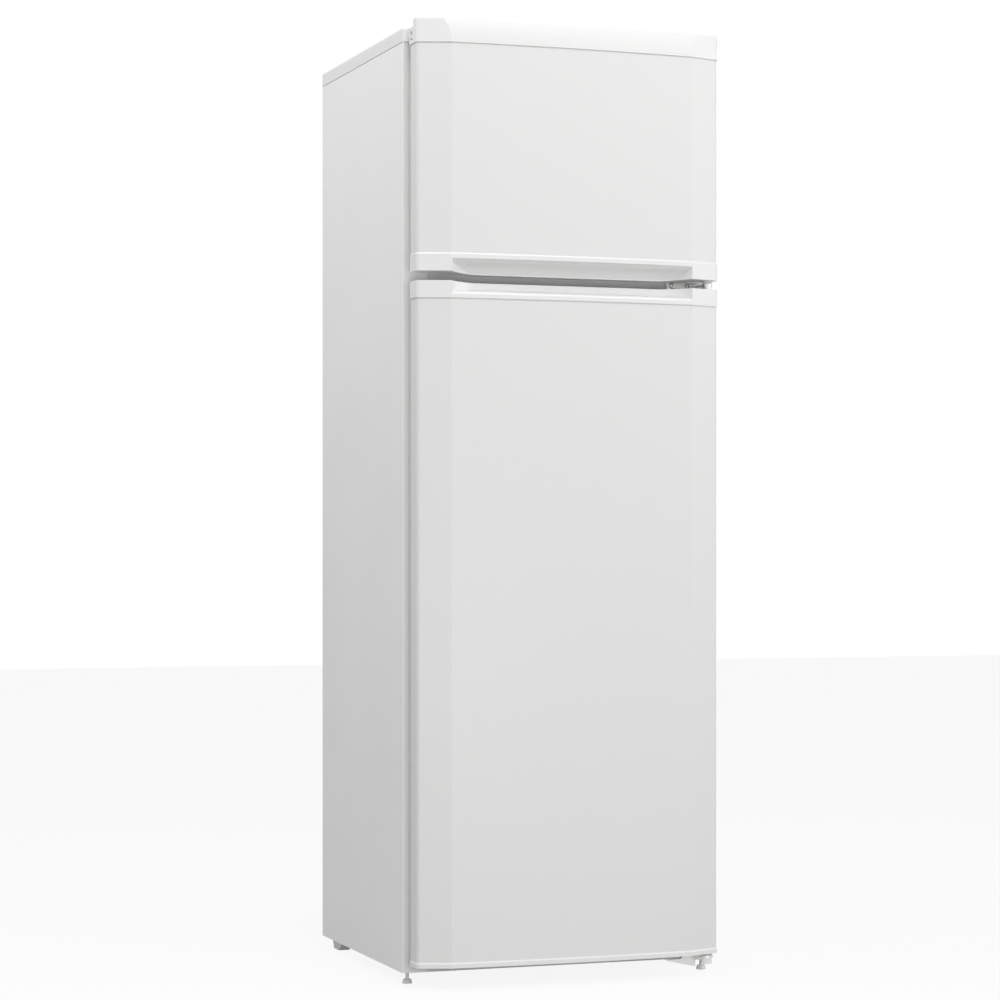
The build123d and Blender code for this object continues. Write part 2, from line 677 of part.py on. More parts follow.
def compressor_grommets():
    """Four rubber mounts, each held in its hole in the carrier."""
    grommets = []
    foot = compressor_base()
    neck = GROMMET_HOLE - 0.1
    for gx, gy in grommet_places():
        body = post(gx, gy, (foot - GROMMET_HEIGHT, foot), 11.0)
        body += post(gx, gy, (CABINET_BOTTOM - 1.5, foot - GROMMET_HEIGHT), neck)
        body += post(gx, gy, (foot, foot + COMPRESSOR_FOOT + 3), neck)
        grommets.append(body)
    return grommets


def terminal_cover():
    """The relay cover on the compressor's side, with the inlet for the supply lead."""
    x, y = compressor_axis()
    base = compressor_base() + 40
    side = x - COMPRESSOR_HALF_LENGTH
    cover = block((side - 30, side + 6), (y - 26, y + 26), (base, base + 42))
    cover = fillet(cover.edges().filter_by(Axis.X), 6.0)
    cover -= along_z(compressor_plan(0.1), (base - 1, base + 43))
    inlet = Pos(side - 30, y + 12, base + 10) * Rot(0, -90, 0)
    cover += inlet * extrude(Circle(7.0), 8.0)
    return cover - inlet * extrude(Circle(4.0), 20.0, both=True)


def evaporation_tray():
    """The tray on the compressor in which the defrost water dries."""
    base = compressor_top()
    middle = Pos(*tray_middle())
    outer = middle * RectangleRounded(TRAY_LENGTH, TRAY_DEPTH, 10)
    inner = middle * RectangleRounded(TRAY_LENGTH - 2 * TRAY_WALL, TRAY_DEPTH - 2 * TRAY_WALL, 8)
    tray = along_z(outer, (base, base + TRAY_HEIGHT))
    return tray - along_z(inner, (base + TRAY_WALL, base + TRAY_HEIGHT + 1))


def tray_middle():
    """The tray reaches from the compressor to the drain."""
    x, y = compressor_axis()
    return (x + DRAIN_X) / 2, y - 4


def drain_place():
    return DRAIN_X, FRIDGE_BACK - DRAIN_FROM_BACK


def drain_bore():
    """The way for the defrost drain from the gutter to the tray."""
    x, y = drain_place()
    return post(x, y, (NICHE_TOP - 2, HUMP_TOP + 2), DRAIN_RADIUS)


def drain_tube():
    x, y = drain_place()
    tray_floor = compressor_top() + TRAY_WALL
    tube = post(x, y, (tray_floor + 8, HUMP_TOP), DRAIN_RADIUS)
    return tube - post(x, y, (tray_floor, HUMP_TOP + 1), DRAIN_RADIUS - DRAIN_WALL)


def condenser_y():
    """The plane of the condenser's tube."""
    return OVERALL_DEPTH / 2 - CONDENSER_TUBE - WIRE - WIRE_GAP


def condenser_z(run):
    return NICHE_TOP + 95 + run * CONDENSER_PITCH


def condenser():
    """The tube that snakes up the back, with steel wires across both its faces."""
    y = condenser_y()
    bend = CONDENSER_PITCH / 2
    pieces = []
    for run in range(CONDENSER_RUNS):
        z = condenser_z(run)
        side = -1 if run % 2 == 0 else 1
        end = side * CONDENSER_HALF
        pieces.append(Line((-end, y, z), (end, y, z)))
        if run < CONDENSER_RUNS - 1:
            outside = side * (CONDENSER_HALF + bend)
            pieces.append(
                ThreePointArc((end, y, z), (outside, y, z + bend), (end, y, z + CONDENSER_PITCH))
            )
    start = Plane(origin=(CONDENSER_HALF, y, condenser_z(0)), z_dir=(-1, 0, 0))
    tube = sweep(start * Circle(CONDENSER_TUBE), path=Wire(pieces))
    solids = [tube]
    low = condenser_z(0) - 18
    high = condenser_z(CONDENSER_RUNS - 1) + 18
    step = 2 * CONDENSER_HALF / (CONDENSER_WIRES + 1)
    for i in range(CONDENSER_WIRES):
        x = -CONDENSER_HALF + step * (i + 1)
        offset = CONDENSER_TUBE + WIRE_GAP
        behind = i % 2 == 0
        near = y + offset if behind else y - offset - WIRE
        solids.append(block((x - WIRE / 2, x + WIRE / 2), (near, near + WIRE), (low, high)))
    return solids


def condenser_brackets():
    """Four plastic clips that hold the condenser off the back panel."""
    clips = []
    y = condenser_y()
    for side in (-1, 1):
        for run in (1, CONDENSER_RUNS - 2):
            z = condenser_z(run)
            x = side * (CONDENSER_HALF - 9.5)
            clip = block((x - 7, x + 7), (CABINET_BACK, y + CONDENSER_TUBE + 1.2), (z - 7, z + 7))
            clip -= Pos(x - 8, y, z) * Rot(0, 90, 0) * extrude(Circle(CONDENSER_TUBE + 0.05), 16)
            clips.append(clip)
    return clips


def refrigerant_pipes():
    """The copper pipes: to the condenser, from it to the drier, and the suction pipe."""
    x = COMPRESSOR_X + COMPRESSOR_HALF_LENGTH + STUB_LENGTH
    back = condenser_y()
    low = condenser_z(0)
    high = condenser_z(CONDENSER_RUNS - 1)
    (discharge_y, discharge_z), (suction_y, suction_z) = compressor_stubs()
    right = CONDENSER_HALF + 29
    discharge = [
        (x, discharge_y, discharge_z),
        (right, discharge_y, discharge_z),
        (right, discharge_y, discharge_z + 60),
        (right, back, discharge_z + 95),
        (right, back, low),
        (CONDENSER_HALF, back, low),
    ]
    drier_x, drier_y = drier_place()
    left = -CONDENSER_HALF - 37
    under = CABINET_BOTTOM + 40
    to_drier = [
        (-CONDENSER_HALF, back, high),
        (left, back, high),
        (left, back, under),
        (left, drier_y, under),
        (drier_x, drier_y, under),
        (drier_x, drier_y, drier_z()[0]),
    ]
    suction = [
        (x, suction_y, suction_z),
        (x + 40, suction_y, suction_z),
        (x + 40, NICHE_FRONT + SHEET, suction_z),
    ]
    return [pipe(route, PIPE_BEND, CONDENSER_TUBE) for route in (discharge, to_drier, suction)]


def pipe(points, bend, radius):
    """A bent copper pipe through the points."""
    path = FilletPolyline(*points, radius=bend)
    start = Plane(origin=points[0], z_dir=path % 0)
    return sweep(start * Circle(radius), path=path)


def drier_place():
    return DRIER_X, compressor_axis()[1]


def drier_z():
    low = CABINET_BOTTOM + 64
    return low, low + DRIER_LENGTH


def filter_drier():
    """The copper drier in the pipe, with the capillary that leaves it upwards."""
    x, y = drier_place()
    low, high = drier_z()
    body = chamfer(post(x, y, (low, high), DRIER_RADIUS).edges().filter_by(GeomType.CIRCLE), 4.0)
    return body + post(x, y, (high - 1, NICHE_TOP), 1.4)


def evaporator_shape():
    """The cooling plates behind the liners: a wrap round the freezer and a fridge plate."""
    thick = LINER + EVAPORATOR
    half = FREEZER_HALF + thick
    z_span = (FREEZER_FLOOR - thick, FREEZER_ROOF + thick)
    y_span = (CABINET_FRONT + 60, FREEZER_BACK + LINER)
    wrap = block((-half, half), y_span, z_span)
    wrap = fillet(wrap.edges().filter_by(Axis.Y), CAVITY_RADIUS + thick)
    wrap -= freezer_cavity(LINER, CABINET_FRONT)
    plate = block(
        (-180, 180),
        (FRIDGE_BACK + LINER, FRIDGE_BACK + thick),
        (FRIDGE_ROOF - 420, FRIDGE_ROOF - 60),
    )
    return [wrap, plate]


def evaporator_room():
    wrap, plate = evaporator_shape()
    return wrap + plate


# ---- Hinges, screws and feet --------------------------------------------------
def top_hinge_left():
    return PIN_X - 70


def top_screw_places():
    return [(top_hinge_left() + 14, CABINET_FRONT + 40), (PIN_X + 4, CABINET_FRONT + 40)]


def middle_screw_places():
    """Across the rail, between the doors."""
    return [PIN_X - 48.4, PIN_X - 18.7]


def bottom_screw_places():
    return [(PIN_X - 42, CABINET_FRONT + 50), (PIN_X - 8, CABINET_FRONT + 50)]


def middle_screw_bores():
    bores = None
    for x in middle_screw_places():
        start = Pos(x, CABINET_FRONT - 4, SPLIT_MIDDLE + MIDDLE_SCREW_RISE)
        bore = start * Rot(-90, 0, 0) * extrude(Circle(SCREW_RADIUS), 20)
        bores = bore if bores is None else bores + bore
    return bores


def top_arm_plan(back):
    """Plan of the top hinge's arm: it narrows to a round eye at the pin."""
    left = from_pin(ARM_LEFT + 90, EYE_RADIUS)
    right = from_pin(ARM_RIGHT - 90, EYE_RADIUS)
    left_end = (left[0] + (back - left[1]) / tan(radians(ARM_LEFT)), back)
    right_end = (right[0] + (back - right[1]) / tan(radians(ARM_RIGHT)), back)
    return polygon(left, left_end, right_end, right) + Pos(PIN_X, PIN_Y) * Circle(EYE_RADIUS)


def top_hinge():
    """Bolted to the roof; its arm reaches into the freezer door's cap, pin downwards."""
    low, high = TOP_ARM_Z
    arm = along_z(top_arm_plan(CABINET_FRONT + 12), (low, high))
    base = block(
        (top_hinge_left(), PIN_X + 14),
        (CABINET_FRONT + 8, CABINET_FRONT + 62),
        (CABINET_TOP, high),
    )
    arm = arm + base + post(PIN_X, PIN_Y, (low - PIN_ENGAGEMENT - 4, high), PIN_RADIUS)
    for x, y in top_screw_places():
        arm -= post(x, y, (CABINET_TOP - 1, high + 1), SCREW_RADIUS)
    return arm


def middle_hinge():
    """A flange on the rail and an arm between the doors, with a pin both ways."""
    low, high = MIDDLE_ARM_Z
    left = PIN_X - 58.6
    flange = block(
        (left, PIN_X + 16),
        (CABINET_FRONT - 3.0, CABINET_FRONT),
        (SPLIT_MIDDLE - 7.0, SPLIT_MIDDLE + 7.0),
    )
    arm = along_z(
        polygon(
            (PIN_X - 8, CABINET_FRONT - 1),
            (PIN_X - 9, PIN_Y),
            (PIN_X + 9, PIN_Y),
            (PIN_X + 16, CABINET_FRONT - 1),
        )
        + Pos(PIN_X, PIN_Y) * Circle(9.0),
        (low, high),
    )
    hinge = flange + arm
    hinge += post(PIN_X, PIN_Y, (FRIDGE_DOOR_TOP - PIN_ENGAGEMENT, FREEZER_DOOR_BOTTOM + PIN_ENGAGEMENT),
                  PIN_RADIUS)
    hinge += post(PIN_X, PIN_Y, (FRIDGE_DOOR_TOP + 1.5, low), COLLAR_RADIUS - 1)
    return hinge - middle_screw_bores()


def bottom_hinge():
    """Bolted under the cabinet: a base, a sloping apron and a raised arm with the pin."""
    low, high = BOTTOM_ARM_Z
    left = PIN_X - 54
    right = PIN_X + 18
    base_z = (CABINET_BOTTOM - 3.0, CABINET_BOTTOM)
    base = block((left, right), (CABINET_FRONT - 3, CABINET_FRONT + 62), base_z)
    apron = along_y(
        polygon(
            (left, CABINET_BOTTOM - 3.0),
            (PIN_X - 10, CABINET_BOTTOM - 13.0),
            (PIN_X - 6, CABINET_BOTTOM - 13.0),
            (PIN_X - 6, high),
            (PIN_X - 22, high),
            (PIN_X - 34, CABINET_BOTTOM),
            (left, CABINET_BOTTOM),
        ),
        (CABINET_FRONT - 6, CABINET_FRONT - 3),
    )
    arm = along_z(
        polygon(
            (PIN_X - 22, CABINET_FRONT - 3),
            (PIN_X - 10, PIN_Y),
            (PIN_X + 10, PIN_Y),
            (PIN_X + 14, CABINET_FRONT - 22),
            (PIN_X - 6, CABINET_FRONT - 3),
        )
        + Pos(PIN_X, PIN_Y) * Circle(10.0),
        (low, high),
    )
    tab = block((PIN_X - 1, PIN_X + 14), (CABINET_FRONT - 30, CABINET_FRONT - 27), (CABINET_BOTTOM - 7, high))
    pin = post(PIN_X, PIN_Y, (low, FRIDGE_DOOR_BOTTOM + PIN_ENGAGEMENT), PIN_RADIUS)
    hinge = base + block((PIN_X - 22, PIN_X - 6), (CABINET_FRONT - 6, CABINET_FRONT - 3), (low, high))
    hinge = hinge + apron + arm + tab + pin
    foot_x, foot_y = front_foot_places()[1]
    hinge -= post(foot_x, foot_y, (CABINET_BOTTOM - 5, CABINET_BOTTOM + 1), STUD_RADIUS + STUD_GAP)
    for x, y in bottom_screw_places():
        hinge -= post(x, y, (CABINET_BOTTOM - 5, CABINET_BOTTOM + 1), SCREW_RADIUS)
    return hinge


def screw(shank):
    """A pan-head screw with a cross recess, head up, seated on Z = 0."""
    head = extrude(Circle(SCREW_HEAD_RADIUS), SCREW_HEAD)
    head = fillet(head.faces().sort_by(Axis.Z)[-1].edges(), 1.6)
    for size in ((5.6, 1.1), (1.1, 5.6)):
        head -= Pos(0, 0, SCREW_HEAD - 1.3) * extrude(Rectangle(*size), 3)
    return head + Pos(0, 0, -shank) * extrude(Circle(SCREW_RADIUS), shank + 0.5)


def hinge_screws():
    screws = []
    for x, y in top_screw_places():
        screws.append(Pos(x, y, TOP_ARM_Z[1]) * screw(14.0))
    for x in middle_screw_places():
        seat = Pos(x, CABINET_FRONT - 3.0, SPLIT_MIDDLE + MIDDLE_SCREW_RISE)
        screws.append(seat * Rot(90, 0, 0) * screw(15.0))
    for x, y in bottom_screw_places():
        screws.append(Pos(x, y, CABINET_BOTTOM - 3.0) * Rot(180, 0, 0) * screw(12.0))
    return screws


def front_foot_places():
    return [
        (-SIDE + LEFT_FOOT[0], CABINET_FRONT + LEFT_FOOT[1]),
        (SIDE - RIGHT_FOOT[0], CABINET_FRONT + RIGHT_FOOT[1]),
    ]


def stud_top():
    return FOOT_PAD_HEIGHT + STUD_LENGTH


def front_foot(x, y):
    """A twelve-sided pad, wider at its sole, on a levelling stud."""
    pad = along_z(Pos(x, y) * RegularPolygon(FOOT_PAD_RADIUS, 12), (0, FOOT_PAD_HEIGHT))
    top = pad.faces().sort_by(Axis.Z)[-1]
    pad = chamfer(top.edges(), 1.6, FOOT_PAD_HEIGHT - 3.0, reference=top)
    return pad + post(x, y, (FOOT_PAD_HEIGHT - 1, stud_top()), STUD_RADIUS)


def skid_profile(wall):
    """The skid's side view, drawn in by its wall where wall is above nought."""
    rear, front = (CABINET_BACK - reach for reach in SKID_SOLE)
    top = CABINET_BOTTOM + (1.0 if wall else 0.0)
    profile = polygon(
        (front - 31 + 2 * wall, top),
        (front + wall, wall),
        (rear - wall, wall),
        (rear + 12 - wall, top),
    )
    return fillet(profile.vertices().group_by(Axis.Y)[0], 4.0)


def rear_feet():
    """Two hollow moulded skids under the machine compartment."""
    skids = []
    for side in (-1, 1):
        x = side * (SIDE - SKID_IN)
        skid = along_x(skid_profile(0.0), (x - SKID_WIDTH / 2, x + SKID_WIDTH / 2))
        hollow = along_x(skid_profile(3.0), (x - SKID_WIDTH / 2 + 3, x + SKID_WIDTH / 2 - 3))
        skids.append(skid - hollow)
    return skids


# ---- Doors --------------------------------------------------------------------
def door_plan(inset, back):
    """Plan of a door: a crowned field, two angled facets and flat sides."""
    half = DOOR_WIDTH / 2 - inset
    crown = DOOR_FRONT + inset
    crease = CREASE_Y + inset
    corner = crease + (half - CREASE_X) * tan(radians(FACET_ANGLE))
    outline = make_face(
        [
            ThreePointArc((-CREASE_X, crease), (0, crown), (CREASE_X, crease)),
            Line((CREASE_X, crease), (half, corner)),
            Line((half, corner), (half, back)),
            Line((half, back), (-half, back)),
            Line((-half, back), (-half, corner)),
            Line((-half, corner), (-CREASE_X, crease)),
        ]
    )
    front_corners = [v for v in outline.vertices() if abs(v.X) > half - 0.01 and v.Y < back - 1]
    return fillet(front_corners, DOOR_CORNER - inset)


def door_panel(z_span):
    """The painted steel skin of a door, folded round its sides."""
    back = DOOR_BACK - DOOR_LINER
    outside = along_z(door_plan(TRIM_PROUD, back), z_span)
    inside = along_z(door_plan(TRIM_PROUD + SHEET, back + 1), z_span)
    return outside - inside


def door_core(z_span):
    """The foam that fills a door's skin."""
    return along_z(door_plan(TRIM_PROUD + SHEET, DOOR_BACK - DOOR_LINER), z_span)


def pocket_plan():
    """Plan of the finger recess: each end curves in from its crease to run into the back wall."""
    depth = POCKET_BACK - CREASE_Y
    radius = (POCKET_RAMP**2 + depth**2) / (2 * depth)
    slope = (radius - depth) / POCKET_RAMP
    ahead = 12.0
    front = CREASE_Y - ahead
    wide = CREASE_X + slope * ahead
    inner = CREASE_X - POCKET_RAMP
    half = POCKET_RAMP / 2
    middle = (inner + half, POCKET_BACK - radius + (radius**2 - half**2) ** 0.5)
    outline = [
        Line((-wide, front), (wide, front)),
        Line((wide, front), (CREASE_X, CREASE_Y)),
        ThreePointArc((CREASE_X, CREASE_Y), middle, (inner, POCKET_BACK)),
        Line((inner, POCKET_BACK), (-inner, POCKET_BACK)),
        ThreePointArc((-inner, POCKET_BACK), (-middle[0], middle[1]), (-CREASE_X, CREASE_Y)),
        Line((-CREASE_X, CREASE_Y), (-wide, front)),
    ]
    return make_face(outline)


def trim_silhouette(level, far, shift):
    """Front view of a handle trim: its gap edge runs lower between the recess ends."""
    half = DOOR_WIDTH / 2 + 1
    inner = CREASE_X - POCKET_RAMP
    return polygon(
        (-half, far),
        (half, far),
        (half, level),
        (CREASE_X, level),
        (inner, level - shift),
        (-inner, level - shift),
        (-CREASE_X, level),
        (-half, level),
    )


def freezer_handle_trim():
    """The freezer door's bottom moulding, with the grip lip over the finger recess."""
    top = FREEZER_PANEL[0]
    bottom = FREEZER_DOOR_BOTTOM
    body = bevelled(along_z(door_plan(0, DOOR_BACK - DOOR_LINER), (bottom - POCKET_SHIFT, top)))
    body &= along_y(trim_silhouette(bottom, top, POCKET_SHIFT), (DOOR_FRONT - 1, DOOR_BACK))
    lip = top - LIP_HEIGHT
    front = DOOR_FRONT - 1
    bend = (CREASE_Y + 10.0, lip - 8.2)
    back_edge = lip - 23.4
    ceiling = [
        Line((front, bottom - 10), (front, lip)),
        Line((front, lip), (CREASE_Y, lip)),
        ThreePointArc((CREASE_Y, lip), (CREASE_Y + 4.6, lip - 5.2), bend),
        ThreePointArc(bend, (CREASE_Y + 18.5, lip - 13.8), (POCKET_BACK, back_edge)),
        Line((POCKET_BACK, back_edge), (POCKET_BACK, bottom - 10)),
        Line((POCKET_BACK, bottom - 10), (front, bottom - 10)),
    ]
    section = along_x(make_face(ceiling), (-SIDE, SIDE))
    body -= section & along_z(pocket_plan(), (bottom - 10, top))
    return body - bush_bore((bottom - 1, bottom + PIN_ENGAGEMENT + 3))


def fridge_handle_trim():
    """The fridge door's top moulding, with a sloping ledge under the finger recess."""
    top = FRIDGE_DOOR_TOP
    bottom = FRIDGE_PANEL[1]
    body = along_z(door_plan(0, DOOR_BACK - DOOR_LINER), (bottom, top)) - shadow_seam(bottom)
    body &= along_y(trim_silhouette(top, bottom, LEDGE_SHIFT), (DOOR_FRONT - 1, DOOR_BACK))
    front = DOOR_FRONT - 1
    ledge = bottom + LEDGE_FRONT
    slope_start = (CREASE_Y + 5.0, ledge + 5.4)
    slope_end = (POCKET_BACK - 3, ledge + 8.0)
    floor = [
        Line((front, top + 10), (front, ledge)),
        Line((front, ledge), (CREASE_Y, ledge)),
        ThreePointArc((CREASE_Y, ledge), (CREASE_Y + 1.4, ledge + 3.6), slope_start),
        Line(slope_start, slope_end),
        ThreePointArc(slope_end, (POCKET_BACK - 0.8, ledge + 9.2), (POCKET_BACK, ledge + 11.6)),
        Line((POCKET_BACK, ledge + 11.6), (POCKET_BACK, top + 10)),
        Line((POCKET_BACK, top + 10), (front, top + 10)),
    ]
    section = along_x(make_face(floor), (-SIDE, SIDE))
    body -= section & along_z(pocket_plan(), (bottom, top + 10))
    return body - bush_bore((top - PIN_ENGAGEMENT - 3, top + 1))


def bevelled(moulding):
    """Slopes the top edge of a moulding, where it stands out from the painted panel."""
    top = moulding.faces().sort_by(Axis.Z)[-1]
    edges = [e for e in top.edges() if e.center().Y < DOOR_BACK - DOOR_LINER - 0.1]
    return chamfer(edges, TRIM_BEVEL[0], TRIM_BEVEL[1], reference=top)


def shadow_seam(low):
    """The groove round the bottom edge of a moulding that overlaps the panel below it."""
    z_span = (low - 1, low + SEAM_HEIGHT)
    behind = DOOR_BACK + 1
    return along_z(door_plan(-2, behind), z_span) - along_z(door_plan(SEAM_DEPTH, behind + 1), z_span)


def bush_bore(z_span):
    return post(PIN_X, PIN_Y, z_span, BUSH_RADIUS)


def facet_plan():
    """Plan of the cap without its crown: the facets run on until they meet the front."""
    half = DOOR_WIDTH / 2
    front = DOOR_FRONT - 1
    slope = tan(radians(FACET_ANGLE))
    corner = CREASE_Y + (half - CREASE_X) * slope
    meet = CREASE_X - (CREASE_Y - front) / slope
    outline = polygon(
        (-meet, front), (meet, front), (half, corner), (half, DOOR_BACK), (-half, DOOR_BACK), (-half, corner)
    )
    front_corners = [v for v in outline.vertices() if abs(v.X) > half - 0.01 and v.Y < DOOR_BACK - 1]
    return fillet(front_corners, DOOR_CORNER)


def leaning_crown():
    """All that lies behind the cap's crowned field, which leans back towards the top."""
    low, high = FREEZER_PANEL[1] - 1, OVERALL_HEIGHT
    lean = high - CAP_SWEEP_HEIGHT
    back = DOOR_BACK + 10
    nose = (DOOR_FRONT + CAP_SWEEP, high)
    side_view = make_face(
        [
            Line((DOOR_FRONT, low), (DOOR_FRONT, lean)),
            ThreePointArc((DOOR_FRONT, lean), (DOOR_FRONT + CAP_SWEEP / 4, (lean + high) / 2), nose),
            Line(nose, (back, high)),
            Line((back, high), (back, low)),
            Line((back, low), (DOOR_FRONT, low)),
        ]
    )
    corner = [v for v in side_view.vertices() if abs(v.X - nose[0]) < 0.01]
    profile = Plane.YZ * fillet(corner, CAP_EDGE - 1)
    swing = 6.0
    centre = Axis((0, DOOR_FRONT + CROWN_RADIUS, 0), (0, 0, 1))
    return revolve(profile.rotate(centre, -swing), centre, 2 * swing)


def freezer_door_cap():
    """The freezer door's top moulding, with a low edge behind and the hinge notches."""
    low, high = FREEZER_PANEL[1], OVERALL_HEIGHT
    body = along_z(facet_plan(), (low, high))
    rim = [e for e in body.faces().sort_by(Axis.Z)[-1].edges() if e.center().Y < DOOR_BACK - 0.1]
    body = fillet(rim, CAP_EDGE) & leaning_crown()
    body -= shadow_seam(low)
    body -= block(
        (-SIDE, SIDE),
        (DOOR_BACK - CAP_STEP[0], DOOR_BACK + 1),
        (high - CAP_STEP[1], high + 1),
    )
    body -= cap_notch()
    body -= plug_room(0)
    body += cap_boss()
    return body - bush_bore((low - 10, cap_notch_z()[0] + 1))


def cap_notch_z():
    low = CABINET_TOP - 3.0
    return low, low + NOTCH_HEIGHT


def from_pin(direction, reach):
    """The point at a distance from the hinge pin, in plan."""
    angle = radians(direction)
    return PIN_X + reach * cos(angle), PIN_Y + reach * sin(angle)


def cap_notch():
    """Room in the cap's rear corner for the top hinge's arm through the door's swing."""
    reach = EYE_RADIUS + NOTCH_GAP
    far = 120.0
    left = from_pin(ARM_LEFT + 90, reach)
    front = from_pin(ARM_RIGHT - DOOR_SWING - 90, reach)
    left_far = (left[0] + far * cos(radians(ARM_LEFT)), left[1] + far * sin(radians(ARM_LEFT)))
    swing_end = radians(ARM_RIGHT - DOOR_SWING)
    front_far = (front[0] + far * cos(swing_end), front[1] + far * sin(swing_end))
    corner = (front_far[0], left_far[1])
    plan = polygon(left, left_far, corner, front_far, front) + Pos(PIN_X, PIN_Y) * Circle(reach)
    return along_z(plan, cap_notch_z())


def cap_boss():
    """The boss below the notch, which holds the bush."""
    low = FREEZER_PANEL[1]
    return post(PIN_X, PIN_Y, (low - 12, cap_notch_z()[0]), BOSS_RADIUS)


def plug_room(gap):
    """The recess in the cap's rear left corner, or the blank in it when drawn with a gap."""
    low, high = cap_notch_z()
    width, depth = PLUG_SIZE
    left = -DOOR_WIDTH / 2
    return block(
        (left + 3 * gap, left + width - gap),
        (DOOR_BACK - depth + gap, DOOR_BACK),
        (low + gap, high - gap),
    )


def cap_plug():
    """The blank in the cap's rear left corner, with a tapered rim over the door gap."""
    low, high = cap_notch_z()
    left = -DOOR_WIDTH / 2
    reach, thickness = PLUG_RIM
    foot, head = FREEZER_PANEL[1] - 1.0, OVERALL_HEIGHT - CAP_STEP[1]
    rim = polygon((DOOR_BACK, foot), (DOOR_BACK + 2, foot), (DOOR_BACK + reach, head), (DOOR_BACK, head))
    plug = plug_room(PLUG_GAP) + along_x(rim, (left, left + thickness))
    for slot in ((high - 6.0, high - 1.6), (low + 3.4, low + 6.4)):
        plug -= block((left - 1, left + 7), (DOOR_BACK - 12, DOOR_BACK - 4), slot)
    return plug


def fridge_bottom_trim():
    """The fridge door's bottom moulding, with the boss for the lower bush."""
    low, high = FRIDGE_DOOR_BOTTOM, FRIDGE_PANEL[0]
    body = bevelled(along_z(door_plan(0, DOOR_BACK - DOOR_LINER), (low, high))) + bottom_boss()
    return body - bush_bore((low - 1, low + PIN_ENGAGEMENT + 3))


def bottom_boss():
    """The boss above the bottom moulding, which holds the bush."""
    low = FRIDGE_DOOR_BOTTOM
    return post(PIN_X, PIN_Y, (low + 2, low + PIN_ENGAGEMENT + 6), BOSS_RADIUS)


def bush(z_span, collar_z):
    """A nylon sleeve round a hinge pin, with a collar outside the door."""
    sleeve = post(PIN_X, PIN_Y, z_span, BUSH_RADIUS)
    if collar_z:
        sleeve += post(PIN_X, PIN_Y, collar_z, COLLAR_RADIUS)
    low = min(z_span[0], collar_z[0] if collar_z else z_span[0])
    return sleeve - post(PIN_X, PIN_Y, (low - 1, z_span[1] + 1), PIN_RADIUS + PIN_RUNNING_GAP)


def freezer_door_bushes():
    bottom = FREEZER_DOOR_BOTTOM
    upper_z = (FREEZER_PANEL[1] - 10, cap_notch_z()[0])
    lower = bush((bottom, bottom + PIN_ENGAGEMENT + 3), (MIDDLE_ARM_Z[1] + COLLAR_GAP, bottom))
    return [bush(upper_z, None), lower]


def fridge_door_bushes():
    top = FRIDGE_DOOR_TOP
    bottom = FRIDGE_DOOR_BOTTOM
    lower = bush((bottom, bottom + PIN_ENGAGEMENT + 3), (BOTTOM_ARM_Z[1] + COLLAR_GAP, bottom))
    return [bush((top - PIN_ENGAGEMENT - 3, top), None), lower]


def dyke(inside, shrink):
    """The raised rim of a door liner, or the foam inside it when shrunk."""
    low, high = inside.dyke_z
    y_span = (DOOR_BACK - DOOR_LINER, DOOR_BACK + DYKE_DEPTH - shrink)
    outer = rounded(inside.dyke_half - shrink, (low + shrink, high - shrink), DYKE_RADIUS + 6 - shrink)
    width = DYKE_WIDTH - shrink
    inner = rounded(inside.dyke_half - width, (low + width, high - width), DYKE_RADIUS)
    ring = along_y(outer, y_span) - along_y(inner, (y_span[0] - 1, y_span[1] + 1))
    tip = ring.faces().sort_by(Axis.Y)[-1]
    return fillet(tip.edges(), 5.0 - shrink)


def door_liner(inside, shelves):
    """The vacuum-formed inside of a door: a flat rim, the dyke and the shelf lugs."""
    half = DOOR_WIDTH / 2 - DOOR_LINER_INSET
    sheet = block((-half, half), (DOOR_BACK - DOOR_LINER, DOOR_BACK), inside.liner_z)
    liner = sheet + dyke(inside, 0)
    for level in shelves:
        wall = inside.dyke_half - DYKE_WIDTH
        liner += both_sides((wall - LUG, wall + 1), (DOOR_BACK - 0.5, DOOR_BACK + 30), (level - 8, level))
    return liner - dyke(inside, DOOR_LINER)


def door_foam(inside, z_span):
    """The foam in a door: it fills the skin and the dyke, round the boss of the bush."""
    foam = door_core(z_span) + dyke(inside, DOOR_LINER)
    return foam - cap_boss() - bottom_boss()


def gasket(inside):
    """The magnetic seal: four mitred strips, each with its soft bellows waist."""
    outer_x = SIDE - FRONT_LAND + GASKET_INSET + GASKET_WIDTH
    low, high = inside.seal_z
    outer_z = (low - GASKET_WIDTH, high + GASKET_WIDTH)
    y_span = (DOOR_BACK, CABINET_FRONT - GASKET_CLEARANCE)
    strips = []
    for corners in mitres(outer_x, outer_z):
        strips.append(along_y(polygon(*corners), y_span))
    waist_y = (DOOR_BACK + 4, DOOR_BACK + 9)
    waist_x = outer_x - GASKET_WAIST
    waist_z = (outer_z[0] + GASKET_WAIST, outer_z[1] - GASKET_WAIST)
    groove = block((-outer_x - 1, outer_x + 1), waist_y, (outer_z[0] - 1, outer_z[1] + 1))
    groove -= block((-waist_x, waist_x), waist_y, waist_z)
    return [strip - groove for strip in strips]


def mitres(half, z_span):
    """Corner points of the four strips of a picture frame."""
    low, high = z_span
    inner = half - GASKET_WIDTH
    bottom, top = low + GASKET_WIDTH, high - GASKET_WIDTH
    return [
        ((-half, low), (half, low), (inner, bottom), (-inner, bottom)),
        ((half, low), (half, high), (inner, top), (inner, bottom)),
        ((half, high), (-half, high), (-inner, top), (inner, top)),
        ((-half, high), (-half, low), (-inner, bottom), (-inner, top)),
    ]


